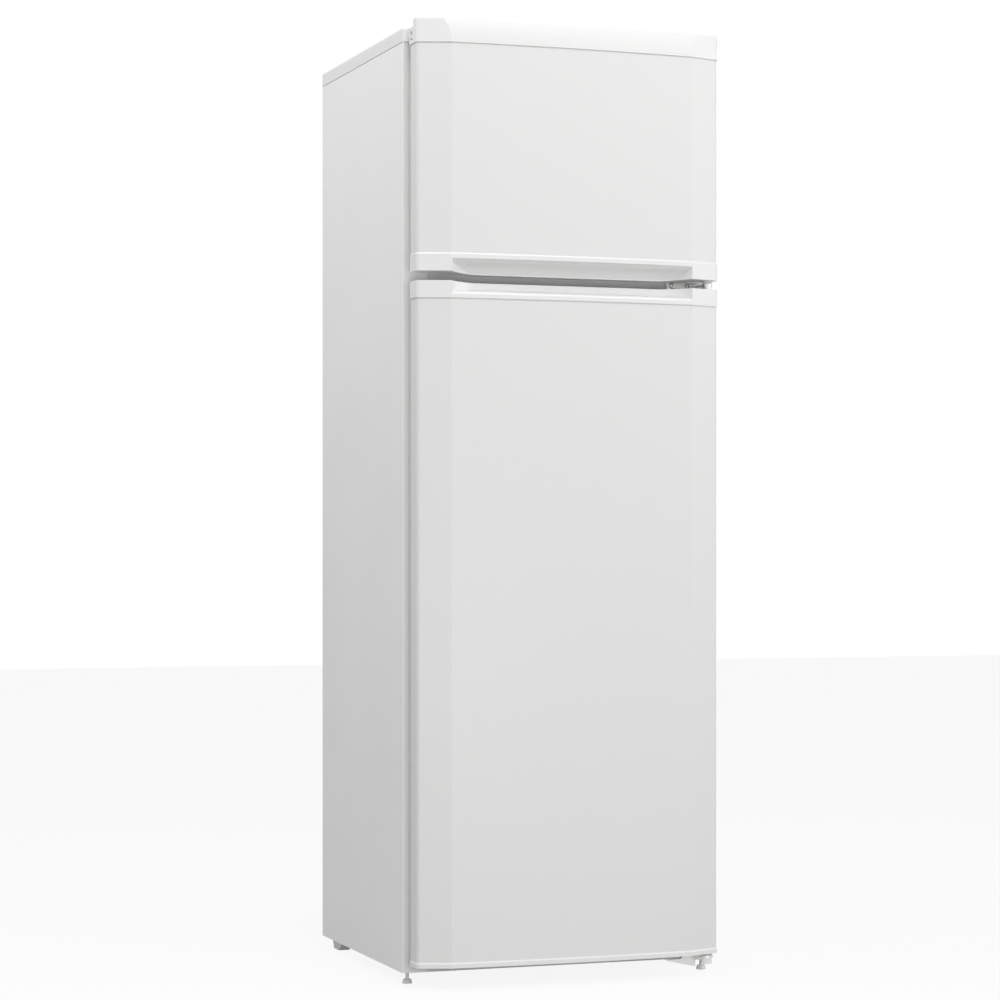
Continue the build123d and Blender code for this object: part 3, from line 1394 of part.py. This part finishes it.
# ---- Door shelves -------------------------------------------------------------
def door_shelf(half, level, wall_height, front_height):
    """A moulded bin: a floor, two ends, a low back and a higher front with a rim."""
    y_span = (DOOR_BACK + SHELF_PLAY, DOOR_BACK + SHELF_REACH)
    outer = Pos(0, sum(y_span) / 2) * Rectangle(2 * half, y_span[1] - y_span[0])
    outer = fillet(outer.vertices().group_by(Axis.Y)[-1], 14.0)
    body = along_z(outer, (level, level + front_height))
    inner = offset(outer, amount=-BIN_WALL)
    body -= along_z(inner, (level + BIN_WALL, level + front_height + 1))
    body -= along_x(
        polygon(
            (y_span[0] - 1, level + wall_height),
            (y_span[0] + 34, level + wall_height),
            (y_span[1] - 26, level + front_height + 0.5),
            (y_span[1] - 26, level + front_height + 1),
            (y_span[0] - 1, level + front_height + 1),
        ),
        (-half - 1, half + 1),
    )
    return body


def dairy_bin():
    """The top compartment of the fridge door: a bin with raised ends for the lid's pins."""
    half = FRIDGE_INSIDE.shelf_half
    body = door_shelf(half, DAIRY_SHELF_Z, DAIRY_HEIGHT, DAIRY_HEIGHT)
    y, z = dairy_axis()
    for side in (-1, 1):
        low, high = sorted((side * (half - LID_EAR), side * half))
        body += block((low, high), (y - 7, y + 7), (DAIRY_SHELF_Z + DAIRY_HEIGHT - 1, z + 6))
    hole = Circle(LID_PIN_RADIUS + PIN_RUNNING_GAP)
    return body - Pos(-half - 1, y, z) * Rot(0, 90, 0) * extrude(hole, 2 * half + 2)


def dairy_axis():
    """(Y, Z) of the dairy lid's pivot."""
    return DOOR_BACK + SHELF_PLAY + 10, DAIRY_SHELF_Z + DAIRY_HEIGHT + 10


def dairy_lid():
    """A flat lid with a front lip, hung on two pins at the back."""
    half = FRIDGE_INSIDE.shelf_half - LID_EAR - LID_SIDE_GAP
    y, z = dairy_axis()
    front = DOOR_BACK + SHELF_REACH + 3
    lid = along_x(lid_outline(y, z, front), (-half, half))
    reach = FRIDGE_INSIDE.shelf_half - 0.5
    return lid + Pos(-reach, y, z) * Rot(0, 90, 0) * extrude(Circle(LID_PIN_RADIUS), 2 * reach)


def lid_outline(y, z, front):
    """Side view of the lid: a sloping roof that ends in a short lip over the bin."""
    rim = DAIRY_SHELF_Z + DAIRY_HEIGHT + 1.2
    return polygon(
        (y - 3.5, z - 2.5),
        (y + 4.0, z - 2.5),
        (front - LID_THICKNESS, rim + 2.0),
        (front - LID_THICKNESS, rim - 10.0),
        (front, rim - 10.0),
        (front, rim + 4.0),
        (y + 4.0, z + 2.5),
        (y - 3.5, z + 2.5),
    )


# ---- Interior fittings --------------------------------------------------------
def shelf_glass(level):
    half = FRIDGE_HALF - SHELF_SIDE_GAP
    return block((-half, half), (SHELF_FRONT + 3, shelf_back(level) - 3), (level, level + SHELF_GLASS))


def shelf_trims():
    """Plastic edges clipped over the front and back of each glass shelf."""
    half = FRIDGE_HALF - SHELF_SIDE_GAP
    trims = []
    for level in SHELF_LEVELS:
        glass = shelf_glass(level)
        for y_span, grip in (
            ((SHELF_FRONT, SHELF_FRONT + 10), 1.5),
            ((shelf_back(level) - 10, shelf_back(level)), 6.0),
        ):
            low = level - 1.5
            bar = block((-half, half), y_span, (low, level + SHELF_GLASS + grip))
            bar -= both_sides((half - LEDGE_WIDTH, half + 1), y_span, (low - 1, level))
            trims.append(bar - glass)
    return trims


def crisper_cover():
    half = FRIDGE_HALF - SHELF_SIDE_GAP
    y_span = (SHELF_FRONT, shelf_back(CRISPER_COVER_Z))
    return block((-half, half), y_span, (CRISPER_COVER_Z, CRISPER_COVER_Z + SHELF_GLASS))


def crisper_drawer():
    """A drawer with drafted sides, a rim round the top and a pull along the front."""
    half = FRIDGE_HALF - CRISPER_SIDE_GAP
    y_low, y_high = SHELF_FRONT, HUMP_FRONT - 8
    low, high = FRIDGE_FLOOR + 0.5, FRIDGE_FLOOR + CRISPER_HEIGHT
    middle = (y_low + y_high) / 2
    width, depth = 2 * half, y_high - y_low
    base = (width - 2 * CRISPER_DRAFT, depth - CRISPER_DRAFT)
    mouth = (width - 8, depth - 4)
    wall = 2 * CRISPER_WALL

    def level(z, size, corner):
        return Plane((0, middle, z)) * RectangleRounded(*size, corner)

    body = loft([level(low, base, 16), level(high, mouth, 16)])
    body += extrude(level(high - 4, (width, depth), 17), 4)
    inside = [
        level(low + CRISPER_WALL, (base[0] - wall, base[1] - wall), 14),
        level(high + 1, (mouth[0] - wall, mouth[1] - wall), 14),
    ]
    return body - loft(inside)


def freezer_shelf():
    """A coated wire shelf."""
    half = FREEZER_HALF - SHELF_SIDE_GAP
    rod = 2.0
    z = FREEZER_SHELF_Z + 2.5
    y_low, y_high = SHELF_FRONT + 10, FREEZER_BACK - 12
    shelf = None
    for y in (y_low, (y_low + y_high) / 2, y_high):
        bar = Pos(-half, y, z) * Rot(0, 90, 0) * extrude(Circle(2.5), 2 * half)
        shelf = bar if shelf is None else shelf + bar
    count = 15
    for i in range(count):
        x = (half - 14) * (2 * i / (count - 1) - 1)
        shelf += block((x - rod, x + rod), (y_low - 4, y_high + 4), (z + 0.5, z + 0.5 + rod))
    return shelf


def control_housing():
    """The box on the right wall with the thermostat and the lamp."""
    box = block((HOUSING_X, FRIDGE_HALF), HOUSING_Y, HOUSING_Z)
    front_edges = box.faces().sort_by(Axis.X)[0].edges()
    box = fillet([*front_edges, *box.edges().filter_by(Axis.X)], 6.0)
    y, z = KNOB_PLACE
    box -= Pos(HOUSING_X - 1, y, z) * Rot(0, 90, 0) * extrude(Circle(KNOB_RADIUS + 1.5), 7)
    box -= Pos(HOUSING_X - 1, y, z) * Rot(0, 90, 0) * extrude(Circle(3.0 + PIN_RUNNING_GAP), 22)
    box -= lamp_room()
    box -= block((HOUSING_X + 10, HOUSING_X + 22), (HOUSING_FRONT - 1, HOUSING_FRONT + 30), switch_z())
    return box


def switch_z():
    return KNOB_PLACE[1] - 6, KNOB_PLACE[1] + 6


def lamp_room():
    y, z = LAMP_PLACE
    return block((HOUSING_X - 1, HOUSING_X + 30), (y - 34, y + 34), (z - 26, z + 26))


def lamp_cover():
    """The ribbed clear cover over the bulb."""
    y, z = LAMP_PLACE
    cover = block((HOUSING_X, HOUSING_X + 3), (y - 33.6, y + 33.6), (z - 25.6, z + 25.6))
    for i in range(8):
        rib = y - 28 + 8 * i
        cover += block((HOUSING_X + 3, HOUSING_X + 5), (rib - 1, rib + 1), (z - 22, z + 22))
    return cover


def lamp_bulb():
    """A small bulb in its holder, lying along the housing."""
    x = HOUSING_X + 17.5
    y, z = LAMP_PLACE
    bulb = extrude(Circle(7.0), 18.0)
    bulb += Pos(0, 0, 18) * Cone(7.0, 10.6, 10, align=(Align.CENTER, Align.CENTER, Align.MIN))
    bulb += Pos(0, 0, 31) * Sphere(11.0)
    return Pos(x, y - 34, z) * Rot(-90, 0, 0) * bulb


def thermostat_knob():
    """A round knob with a grip bar, on a spindle in the housing."""
    y, z = KNOB_PLACE
    turn = Pos(HOUSING_X + 5.7, y, z) * Rot(0, -90, 0)
    knob = extrude(Circle(KNOB_RADIUS), 8.0)
    knob = fillet(knob.faces().sort_by(Axis.Z)[-1].edges(), 1.5)
    knob += Pos(0, 0, 8) * extrude(RectangleRounded(30, 7, 3), 7.0)
    knob += Pos(0, 0, -14) * extrude(Circle(3.0), 15)
    return turn * knob


def light_switch():
    """The plunger that the fridge door pushes in."""
    low, high = switch_z()
    body = block(
        (HOUSING_X + 10 + SWITCH_GAP, HOUSING_X + 22 - SWITCH_GAP),
        (DOOR_BACK + DYKE_DEPTH + SWITCH_GAP, HOUSING_FRONT + 24.0),
        (low + SWITCH_GAP, high - SWITCH_GAP),
    )
    return fillet(body.faces().sort_by(Axis.Y)[0].edges(), 1.5)


# ---- The assembly -------------------------------------------------------------
NODES = {
    "side_panel_left": side_panel(-1),
    "side_panel_right": side_panel(1),
    "top_panel": top_panel(),
    "back_panel": back_panel(),
    "base_panel": base_panel(),
    "niche_panel": niche_panel(),
    "compressor_carrier": base_carrier(),
    "centre_rail": centre_rail(),
    "cabinet_foam": cabinet_foam(),
    "fridge_liner": fridge_liner(),
    "freezer_liner": freezer_liner(),
    "worktop": worktop(),
    "compressor": compressor(),
    "compressor_grommets": compressor_grommets(),
    "terminal_cover": terminal_cover(),
    "evaporation_tray": evaporation_tray(),
    "drain_tube": drain_tube(),
    "condenser": condenser(),
    "condenser_clips": condenser_brackets(),
    "refrigerant_pipes": refrigerant_pipes(),
    "filter_drier": filter_drier(),
    "evaporator_plates": evaporator_shape(),
    "top_hinge": top_hinge(),
    "middle_hinge": middle_hinge(),
    "bottom_hinge": bottom_hinge(),
    "hinge_screws": hinge_screws(),
    "rear_feet": rear_feet(),
    "control_housing": control_housing(),
    "lamp_bulb": lamp_bulb(),
    "lamp_cover": lamp_cover(),
    "glass_shelves": [shelf_glass(level) for level in SHELF_LEVELS],
    "shelf_trims": shelf_trims(),
    "crisper_cover": crisper_cover(),
    "freezer_shelf": freezer_shelf(),
    "freezer_door_panel": door_panel(FREEZER_PANEL),
    "freezer_door_cap": freezer_door_cap(),
    "freezer_cap_plug": cap_plug(),
    "freezer_handle_trim": freezer_handle_trim(),
    "freezer_door_foam": door_foam(FREEZER_INSIDE, FREEZER_PANEL),
    "freezer_door_liner": door_liner(FREEZER_INSIDE, FREEZER_DOOR_SHELVES),
    "freezer_door_gasket": gasket(FREEZER_INSIDE),
    "freezer_door_bushes": freezer_door_bushes(),
    "freezer_door_shelf_lower": door_shelf(FREEZER_INSIDE.shelf_half, FREEZER_DOOR_SHELVES[0], 30.0, 55.0),
    "freezer_door_shelf_upper": door_shelf(FREEZER_INSIDE.shelf_half, FREEZER_DOOR_SHELVES[1], 30.0, 45.0),
    "fridge_door_panel": door_panel(FRIDGE_PANEL),
    "fridge_handle_trim": fridge_handle_trim(),
    "fridge_bottom_trim": fridge_bottom_trim(),
    "fridge_door_foam": door_foam(FRIDGE_INSIDE, FRIDGE_PANEL),
    "fridge_door_liner": door_liner(FRIDGE_INSIDE, [BOTTLE_SHELF_Z, *MIDDLE_SHELVES, DAIRY_SHELF_Z]),
    "fridge_door_gasket": gasket(FRIDGE_INSIDE),
    "fridge_door_bushes": fridge_door_bushes(),
    "bottle_shelf": door_shelf(FRIDGE_INSIDE.shelf_half, BOTTLE_SHELF_Z, 60.0, 95.0),
    "middle_shelves": [door_shelf(FRIDGE_INSIDE.shelf_half, level, 35.0, 60.0) for level in MIDDLE_SHELVES],
    "dairy_bin": dairy_bin(),
    "dairy_lid": dairy_lid(),
    "crisper_drawer": crisper_drawer(),
    "thermostat_knob": thermostat_knob(),
    "light_switch": light_switch(),
    "front_left_foot": front_foot(*front_foot_places()[0]),
    "front_right_foot": front_foot(*front_foot_places()[1]),
}

os.makedirs("parts", exist_ok=True)
for node, shape in NODES.items():
    if isinstance(shape, (list, tuple)):
        shape = Compound(children=[*shape])
    export_step(shape, os.path.join("parts", node + ".step"))
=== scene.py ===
import json
import math

import bmesh
import bpy
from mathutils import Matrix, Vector


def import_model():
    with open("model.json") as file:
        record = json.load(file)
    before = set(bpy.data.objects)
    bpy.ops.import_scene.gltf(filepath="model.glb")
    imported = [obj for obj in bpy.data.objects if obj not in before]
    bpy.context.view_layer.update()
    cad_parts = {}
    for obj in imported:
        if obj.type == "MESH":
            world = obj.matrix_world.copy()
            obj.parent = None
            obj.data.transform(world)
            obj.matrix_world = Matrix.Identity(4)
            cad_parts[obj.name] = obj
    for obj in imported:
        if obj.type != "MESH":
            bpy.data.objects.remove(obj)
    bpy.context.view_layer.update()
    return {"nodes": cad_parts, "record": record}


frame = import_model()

# Top freezer refrigerator: finishes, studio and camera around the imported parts, in metres.
# +Z is up, the doors face -Y and the hinges are on the right, at +X.
# Every visible piece is a carried-over CAD part, so no new mesh is made apart from the floor.

NODES = frame["nodes"]
SLOT_OF = {row["node"]: row["material_slot"] for row in frame["record"]["subparts"]}


# ---- Material building blocks ----------------------------------------------------
NOISE_LOW, NOISE_HIGH = 0.3, 0.7  # nearly all of a noise texture's values lie between these


class Finish:
    """A node material built step by step round one Principled shader."""

    def __init__(self, name, colour, roughness, metallic=0.0):
        self.material = bpy.data.materials.new(name)
        self.material.use_nodes = True
        self.tree = self.material.node_tree
        self.shader = self.tree.nodes["Principled BSDF"]
        self.shader.inputs["Base Color"].default_value = (*colour, 1.0)
        self.shader.inputs["Roughness"].default_value = roughness
        self.shader.inputs["Metallic"].default_value = metallic
        self.place = self.tree.nodes.new("ShaderNodeTexCoord").outputs["Object"]
        self.height = None

    def link(self, source, target):
        self.tree.links.new(source, target)

    def stretched(self, scale):
        """Object coordinates scaled unevenly, for brushed or drawn grain."""
        node = self.tree.nodes.new("ShaderNodeMapping")
        node.inputs["Scale"].default_value = scale
        self.link(self.place, node.inputs["Vector"])
        return node.outputs["Vector"]

    def noise(self, scale, detail=2.0, vector=None):
        node = self.tree.nodes.new("ShaderNodeTexNoise")
        node.inputs["Scale"].default_value = scale
        node.inputs["Detail"].default_value = detail
        self.link(vector or self.place, node.inputs["Vector"])
        return node.outputs["Fac"]

    def cells(self, scale):
        node = self.tree.nodes.new("ShaderNodeTexVoronoi")
        node.inputs["Scale"].default_value = scale
        self.link(self.place, node.inputs["Vector"])
        return node.outputs["Color"]

    def painted_shade_openness(self, reach):
        """Ambient occlusion, 0 deep in a crevice to 1 in the open, by what lies within reach,
        for painting shade into a colour.
        """
        node = self.tree.nodes.new("ShaderNodeAmbientOcclusion")
        node.inputs["Distance"].default_value = reach
        return node.outputs["AO"]

    def spread(self, value, low, high):
        """A 0 to 1 value mapped to low to high."""
        node = self.tree.nodes.new("ShaderNodeMapRange")
        node.inputs["From Min"].default_value = NOISE_LOW
        node.inputs["From Max"].default_value = NOISE_HIGH
        node.inputs["To Min"].default_value = low
        node.inputs["To Max"].default_value = high
        self.link(value, node.inputs["Value"])
        return node.outputs["Result"]

    def vary_roughness(self, value, low, high):
        self.link(self.spread(value, low, high), self.shader.inputs["Roughness"])

    def vary_colour(self, value, first, second):
        """The base colour runs from first to second with a 0 to 1 value."""
        node = self.tree.nodes.new("ShaderNodeValToRGB")
        node.color_ramp.elements[0].position = NOISE_LOW
        node.color_ramp.elements[0].color = (*first, 1.0)
        node.color_ramp.elements[1].position = NOISE_HIGH
        node.color_ramp.elements[1].color = (*second, 1.0)
        self.link(value, node.inputs["Fac"])
        self.link(node.outputs["Color"], self.shader.inputs["Base Color"])

    def bump(self, value, depth):
        """Adds relief of a depth in metres. Several calls stack."""
        node = self.tree.nodes.new("ShaderNodeBump")
        node.inputs["Distance"].default_value = depth
        self.link(value, node.inputs["Height"])
        if self.height is not None:
            self.link(self.height, node.inputs["Normal"])
        self.height = node.outputs["Normal"]
        self.link(self.height, self.shader.inputs["Normal"])

    def set(self, **sockets):
        for name, value in sockets.items():
            self.shader.inputs[name.replace("_", " ")].default_value = value


# ---- Finishes, one for each material slot ------------------------------------------
def white_steel():
    """Enamelled sheet: a faint orange peel under a clear gloss. Its colour is set darker than
    side_steel's to stand in for shade: painted shade on the door skins.
    """
    finish = Finish("white_steel", (0.75, 0.75, 0.745), 0.34)
    finish.set(Specular_IOR_Level=0.2)
    finish.vary_roughness(finish.noise(9.0, 3.0), 0.31, 0.37)
    finish.bump(finish.noise(420.0, 1.0), 0.00001)
    return finish.material


def side_steel():
    """Satin enamel, with a coarser peel than the doors. Its colour is set paler than
    white_steel's to stand in for light: painted light on the cabinet sides.
    """
    finish = Finish("side_steel", (0.86, 0.86, 0.855), 0.44)
    finish.vary_roughness(finish.noise(7.0, 3.0), 0.40, 0.48)
    finish.bump(finish.noise(260.0, 2.0), 0.00002)
    return finish.material


def white_trim():
    """Glossy moulded plastic."""
    finish = Finish("white_trim", (0.785, 0.785, 0.78), 0.38)
    finish.set(Specular_IOR_Level=0.35)
    finish.vary_roughness(finish.noise(14.0, 3.0), 0.36, 0.40)
    return finish.material


def liner_plastic():
    """Vacuum-formed sheet, satin, slightly uneven."""
    finish = Finish("liner_plastic", (0.85, 0.855, 0.855), 0.38)
    finish.vary_roughness(finish.noise(11.0, 3.0), 0.33, 0.43)
    finish.bump(finish.noise(60.0, 2.0), 0.00004)
    return finish.material


def foam():
    """Rigid insulation with small open cells."""
    finish = Finish("foam", (0.82, 0.74, 0.52), 0.9)
    finish.vary_colour(finish.noise(90.0, 4.0), (0.78, 0.69, 0.46), (0.86, 0.79, 0.58))
    finish.bump(finish.noise(900.0, 3.0), 0.0003)
    return finish.material


def galvanised():
    """Zinc-coated sheet with its spangle."""
    finish = Finish("galvanised", (0.60, 0.61, 0.62), 0.45, 0.85)
    spangle = finish.cells(75.0)
    finish.vary_colour(spangle, (0.52, 0.53, 0.545), (0.68, 0.69, 0.70))
    finish.vary_roughness(finish.noise(40.0, 3.0), 0.36, 0.52)
    finish.bump(finish.noise(500.0, 2.0), 0.00001)
    return finish.material


def zinc_steel():
    """Plated pressed steel with fine drawing marks."""
    finish = Finish("zinc_steel", (0.62, 0.62, 0.61), 0.34, 1.0)
    grain = finish.noise(120.0, 3.0, finish.stretched((0.4, 6.0, 6.0)))
    finish.vary_roughness(grain, 0.27, 0.42)
    finish.vary_colour(finish.noise(60.0, 3.0), (0.56, 0.56, 0.55), (0.67, 0.67, 0.66))
    finish.bump(grain, 0.00001)
    return finish.material


def screw_steel_painted_shade():
    """Plated screws with painted shade: the colour goes near black in the cross recess and
    where the head meets its seat.
    """
    finish = Finish("screw_steel_painted_shade", (0.62, 0.62, 0.61), 0.3, 1.0)
    # Painted shade: ambient occlusion within 4 mm darkens the base colour in the recesses.
    finish.vary_colour(finish.painted_shade_openness(0.004), (0.05, 0.05, 0.05), (0.64, 0.64, 0.63))
    finish.vary_roughness(finish.noise(220.0, 3.0), 0.24, 0.38)
    return finish.material


def black_enamel():
    """Thick black stoving paint with runs and a soft gloss."""
    finish = Finish("black_enamel", (0.014, 0.014, 0.015), 0.3)
    finish.vary_roughness(finish.noise(50.0, 4.0), 0.24, 0.42)
    finish.bump(finish.noise(220.0, 3.0), 0.00006)
    return finish.material


def copper():
    """Drawn tube, tarnished in patches."""
    finish = Finish("copper", (0.66, 0.34, 0.20), 0.3, 1.0)
    finish.vary_colour(finish.noise(70.0, 4.0), (0.50, 0.24, 0.14), (0.74, 0.42, 0.27))
    finish.vary_roughness(finish.noise(120.0, 3.0), 0.24, 0.46)
    return finish.material


def aluminium():
    """Rolled sheet."""
    finish = Finish("aluminium", (0.78, 0.79, 0.80), 0.35, 1.0)
    grain = finish.noise(200.0, 3.0, finish.stretched((0.3, 4.0, 4.0)))
    finish.vary_roughness(grain, 0.28, 0.44)
    finish.bump(grain, 0.00001)
    return finish.material


def gasket_rubber():
    """Soft white vinyl with a matt skin."""
    finish = Finish("gasket_rubber", (0.76, 0.76, 0.75), 0.55)
    finish.vary_roughness(finish.noise(30.0, 3.0), 0.48, 0.62)
    finish.bump(finish.noise(700.0, 2.0), 0.00002)
    return finish.material


def black_rubber():
    finish = Finish("black_rubber", (0.022, 0.022, 0.022), 0.7)
    finish.vary_roughness(finish.noise(80.0, 3.0), 0.6, 0.8)
    finish.bump(finish.noise(800.0, 3.0), 0.00004)
    return finish.material


def grey_plastic():
    """Light grey moulded plastic with a fine spark-eroded grain."""
    finish = Finish("grey_plastic", (0.60, 0.61, 0.62), 0.5)
    finish.vary_roughness(finish.noise(40.0, 3.0), 0.44, 0.56)
    finish.bump(finish.noise(1500.0, 2.0), 0.00003)
    return finish.material


def foot_plastic():
    """Pale moulded pads and skids, scuffed near the floor."""
    finish = Finish("foot_plastic", (0.80, 0.80, 0.79), 0.5)
    finish.vary_colour(finish.noise(160.0, 4.0), (0.76, 0.76, 0.75), (0.83, 0.83, 0.82))
    finish.vary_roughness(finish.noise(90.0, 3.0), 0.42, 0.58)
    finish.bump(finish.noise(1500.0, 2.0), 0.00002)
    return finish.material


def black_plastic():
    finish = Finish("black_plastic", (0.025, 0.025, 0.027), 0.45)
    finish.vary_roughness(finish.noise(40.0, 3.0), 0.38, 0.52)
    finish.bump(finish.noise(1500.0, 2.0), 0.00003)
    return finish.material


def shelf_glass():
    """Toughened glass, green in its thickness."""
    finish = Finish("shelf_glass", (0.90, 0.97, 0.94), 0.03)
    finish.set(Transmission_Weight=1.0, IOR=1.5)
    finish.bump(finish.noise(6.0, 1.0), 0.00002)
    return finish.material


def clear_plastic():
    """Injection-moulded clear styrene, faintly cloudy."""
    finish = Finish("clear_plastic", (0.93, 0.96, 0.97), 0.09)
    finish.set(Transmission_Weight=0.9, IOR=1.45)
    finish.vary_roughness(finish.noise(25.0, 3.0), 0.06, 0.14)
    finish.bump(finish.noise(35.0, 2.0), 0.00003)
    return finish.material


def lamp_glass():
    """Frosted bulb glass."""
    finish = Finish("lamp_glass", (0.95, 0.94, 0.91), 0.4)
    finish.set(Transmission_Weight=0.35, IOR=1.5)
    finish.bump(finish.noise(900.0, 2.0), 0.00001)
    return finish.material


def coated_wire():
    """Wire under a thick white dip coat."""
    finish = Finish("coated_wire", (0.82, 0.82, 0.82), 0.35)
    finish.vary_roughness(finish.noise(60.0, 3.0), 0.28, 0.42)
    finish.bump(finish.noise(300.0, 2.0), 0.00004)
    return finish.material


FINISHES = {
    make.__name__: make()
    for make in (
        white_steel,
        side_steel,
        white_trim,
        liner_plastic,
        foam,
        galvanised,
        zinc_steel,
        black_enamel,
        copper,
        aluminium,
        gasket_rubber,
        black_rubber,
        grey_plastic,
        foot_plastic,
        black_plastic,
        shelf_glass,
        clear_plastic,
        lamp_glass,
        coated_wire,
    )
}


# The hinge screws' finish carries painted shade in its recesses.
OWN_FINISHES = {"hinge_screws": screw_steel_painted_shade()}


def finish_nodes():
    """Gives every carried-over part the finish of its slot, or its own."""
    for name, part in NODES.items():
        part.data.materials.clear()
        part.data.materials.append(OWN_FINISHES.get(name) or FINISHES[SLOT_OF[name]])


finish_nodes()


# ---- Studio -----------------------------------------------------------------------
# Softboxes: name, place, the point each looks at, width and height, and power in watts.
SOFTBOXES = (
    ("front_softbox", (-0.4, -3.2, 0.45), (0.0, -0.3, 0.3), (2.4, 0.7), 25.0),
    ("top_softbox", (0.0, -1.6, 3.3), (0.0, -0.29, 1.3), (2.0, 1.4), 34.0),
    ("right_softbox", (3.2, -2.6, 1.8), (0.0, -0.2, 0.9), (2.2, 2.2), 41.0),
    ("left_softbox", (-1.9, 0.0, 2.7), (-0.277, 0.0, 1.5), (1.3, 1.3), 22.5),
)
WORLD_LIGHT = 0.46

CAMERA_LENS = 100.82      # millimetres, as the sensor's width is
CAMERA_SENSOR = 36.0
CAMERA_SHIFT = 0.0468
CAMERA_REACH = 60.0
CAMERA_PLACE = (-1.6736, -4.6391, 0.7275)
CAMERA_TURN = 19.504      # degrees, from straight ahead towards the right

FLOOR_HALF_SIDE = 12.0
FLOOR_PAPER = 0.80        # how pale the floor looks
FLOOR_BOUNCE = 0.34       # how pale it is for the light that it throws back
FLOOR_WHITE = 0.9         # the share of plain white in what the camera sees of it


def seen_rays(tree, path):
    """1 for what the camera, gloss and glass see, 0 for light that bounces."""
    seen = path.outputs["Is Camera Ray"]
    for ray in ("Is Glossy Ray", "Is Transmission Ray"):
        either = tree.nodes.new("ShaderNodeMath")
        either.operation = "MAXIMUM"
        tree.links.new(seen, either.inputs[0])
        tree.links.new(path.outputs[ray], either.inputs[1])
        seen = either.outputs["Value"]
    return seen


def floor():
    """A pale floor that keeps the object's shadow but reads as white paper.

    Light bounces off it as off a mid-grey floor, so undersides stay in shade.
    """
    mesh = bpy.data.meshes.new("studio_floor")
    shape = bmesh.new()
    bmesh.ops.create_grid(shape, x_segments=1, y_segments=1, size=FLOOR_HALF_SIDE)
    shape.to_mesh(mesh)
    shape.free()
    plane = bpy.data.objects.new("studio_floor", mesh)
    bpy.context.scene.collection.objects.link(plane)
    material = bpy.data.materials.new("paper")
    material.use_nodes = True
    tree = material.node_tree
    output = tree.nodes["Material Output"]
    paper = tree.nodes["Principled BSDF"]
    paper.inputs["Roughness"].default_value = 0.9
    path = tree.nodes.new("ShaderNodeLightPath")
    seen = seen_rays(tree, path)
    tone = tree.nodes.new("ShaderNodeMapRange")
    tone.inputs["To Min"].default_value = FLOOR_BOUNCE
    tone.inputs["To Max"].default_value = FLOOR_PAPER
    tree.links.new(seen, tone.inputs["Value"])
    tree.links.new(tone.outputs["Result"], paper.inputs["Base Color"])
    glow = tree.nodes.new("ShaderNodeEmission")
    share = tree.nodes.new("ShaderNodeMath")
    share.operation = "MULTIPLY"
    share.inputs[1].default_value = FLOOR_WHITE
    tree.links.new(seen, share.inputs[0])
    mix = tree.nodes.new("ShaderNodeMixShader")
    tree.links.new(share.outputs["Value"], mix.inputs["Fac"])
    tree.links.new(paper.outputs["BSDF"], mix.inputs[1])
    tree.links.new(glow.outputs["Emission"], mix.inputs[2])
    tree.links.new(mix.outputs["Shader"], output.inputs["Surface"])
    mesh.materials.append(material)


def world(strength):
    """Even light all round; the camera, gloss and glass see plain white."""
    sky = bpy.data.worlds.new("studio")
    bpy.context.scene.world = sky
    sky.use_nodes = True
    tree = sky.node_tree
    lit = tree.nodes["Background"]
    lit.inputs["Color"].default_value = (1.0, 1.0, 1.0, 1.0)
    lit.inputs["Strength"].default_value = strength
    white = tree.nodes.new("ShaderNodeBackground")
    white.inputs["Color"].default_value = (1.0, 1.0, 1.0, 1.0)
    white.inputs["Strength"].default_value = 1.0
    path = tree.nodes.new("ShaderNodeLightPath")
    mix = tree.nodes.new("ShaderNodeMixShader")
    tree.links.new(seen_rays(tree, path), mix.inputs["Fac"])
    tree.links.new(lit.outputs["Background"], mix.inputs[1])
    tree.links.new(white.outputs["Background"], mix.inputs[2])
    tree.links.new(mix.outputs["Shader"], tree.nodes["World Output"].inputs["Surface"])


def softbox(name, place, target, size, power):
    """A square area lamp that looks at a point."""
    lamp = bpy.data.lights.new(name, "AREA")
    lamp.shape = "RECTANGLE"
    lamp.size, lamp.size_y = size
    lamp.energy = power
    box = bpy.data.objects.new(name, lamp)
    box.location = place
    aim = Vector(target) - Vector(place)
    box.rotation_euler = aim.to_track_quat("-Z", "Y").to_euler()
    bpy.context.scene.collection.objects.link(box)


def camera():
    """Level camera, left of the front, whose shift frames the whole height."""
    lens = bpy.data.cameras.new("camera")
    lens.lens = CAMERA_LENS
    lens.sensor_width = CAMERA_SENSOR
    lens.shift_y = CAMERA_SHIFT
    lens.clip_end = CAMERA_REACH
    body = bpy.data.objects.new("camera", lens)
    body.location = CAMERA_PLACE
    body.rotation_euler = (math.radians(90.0), 0.0, math.radians(-CAMERA_TURN))
    bpy.context.scene.collection.objects.link(body)
    bpy.context.scene.camera = body


floor()
world(WORLD_LIGHT)
for lamp in SOFTBOXES:
    softbox(*lamp)
camera()

scene = bpy.context.scene
scene.view_settings.view_transform = "Standard"
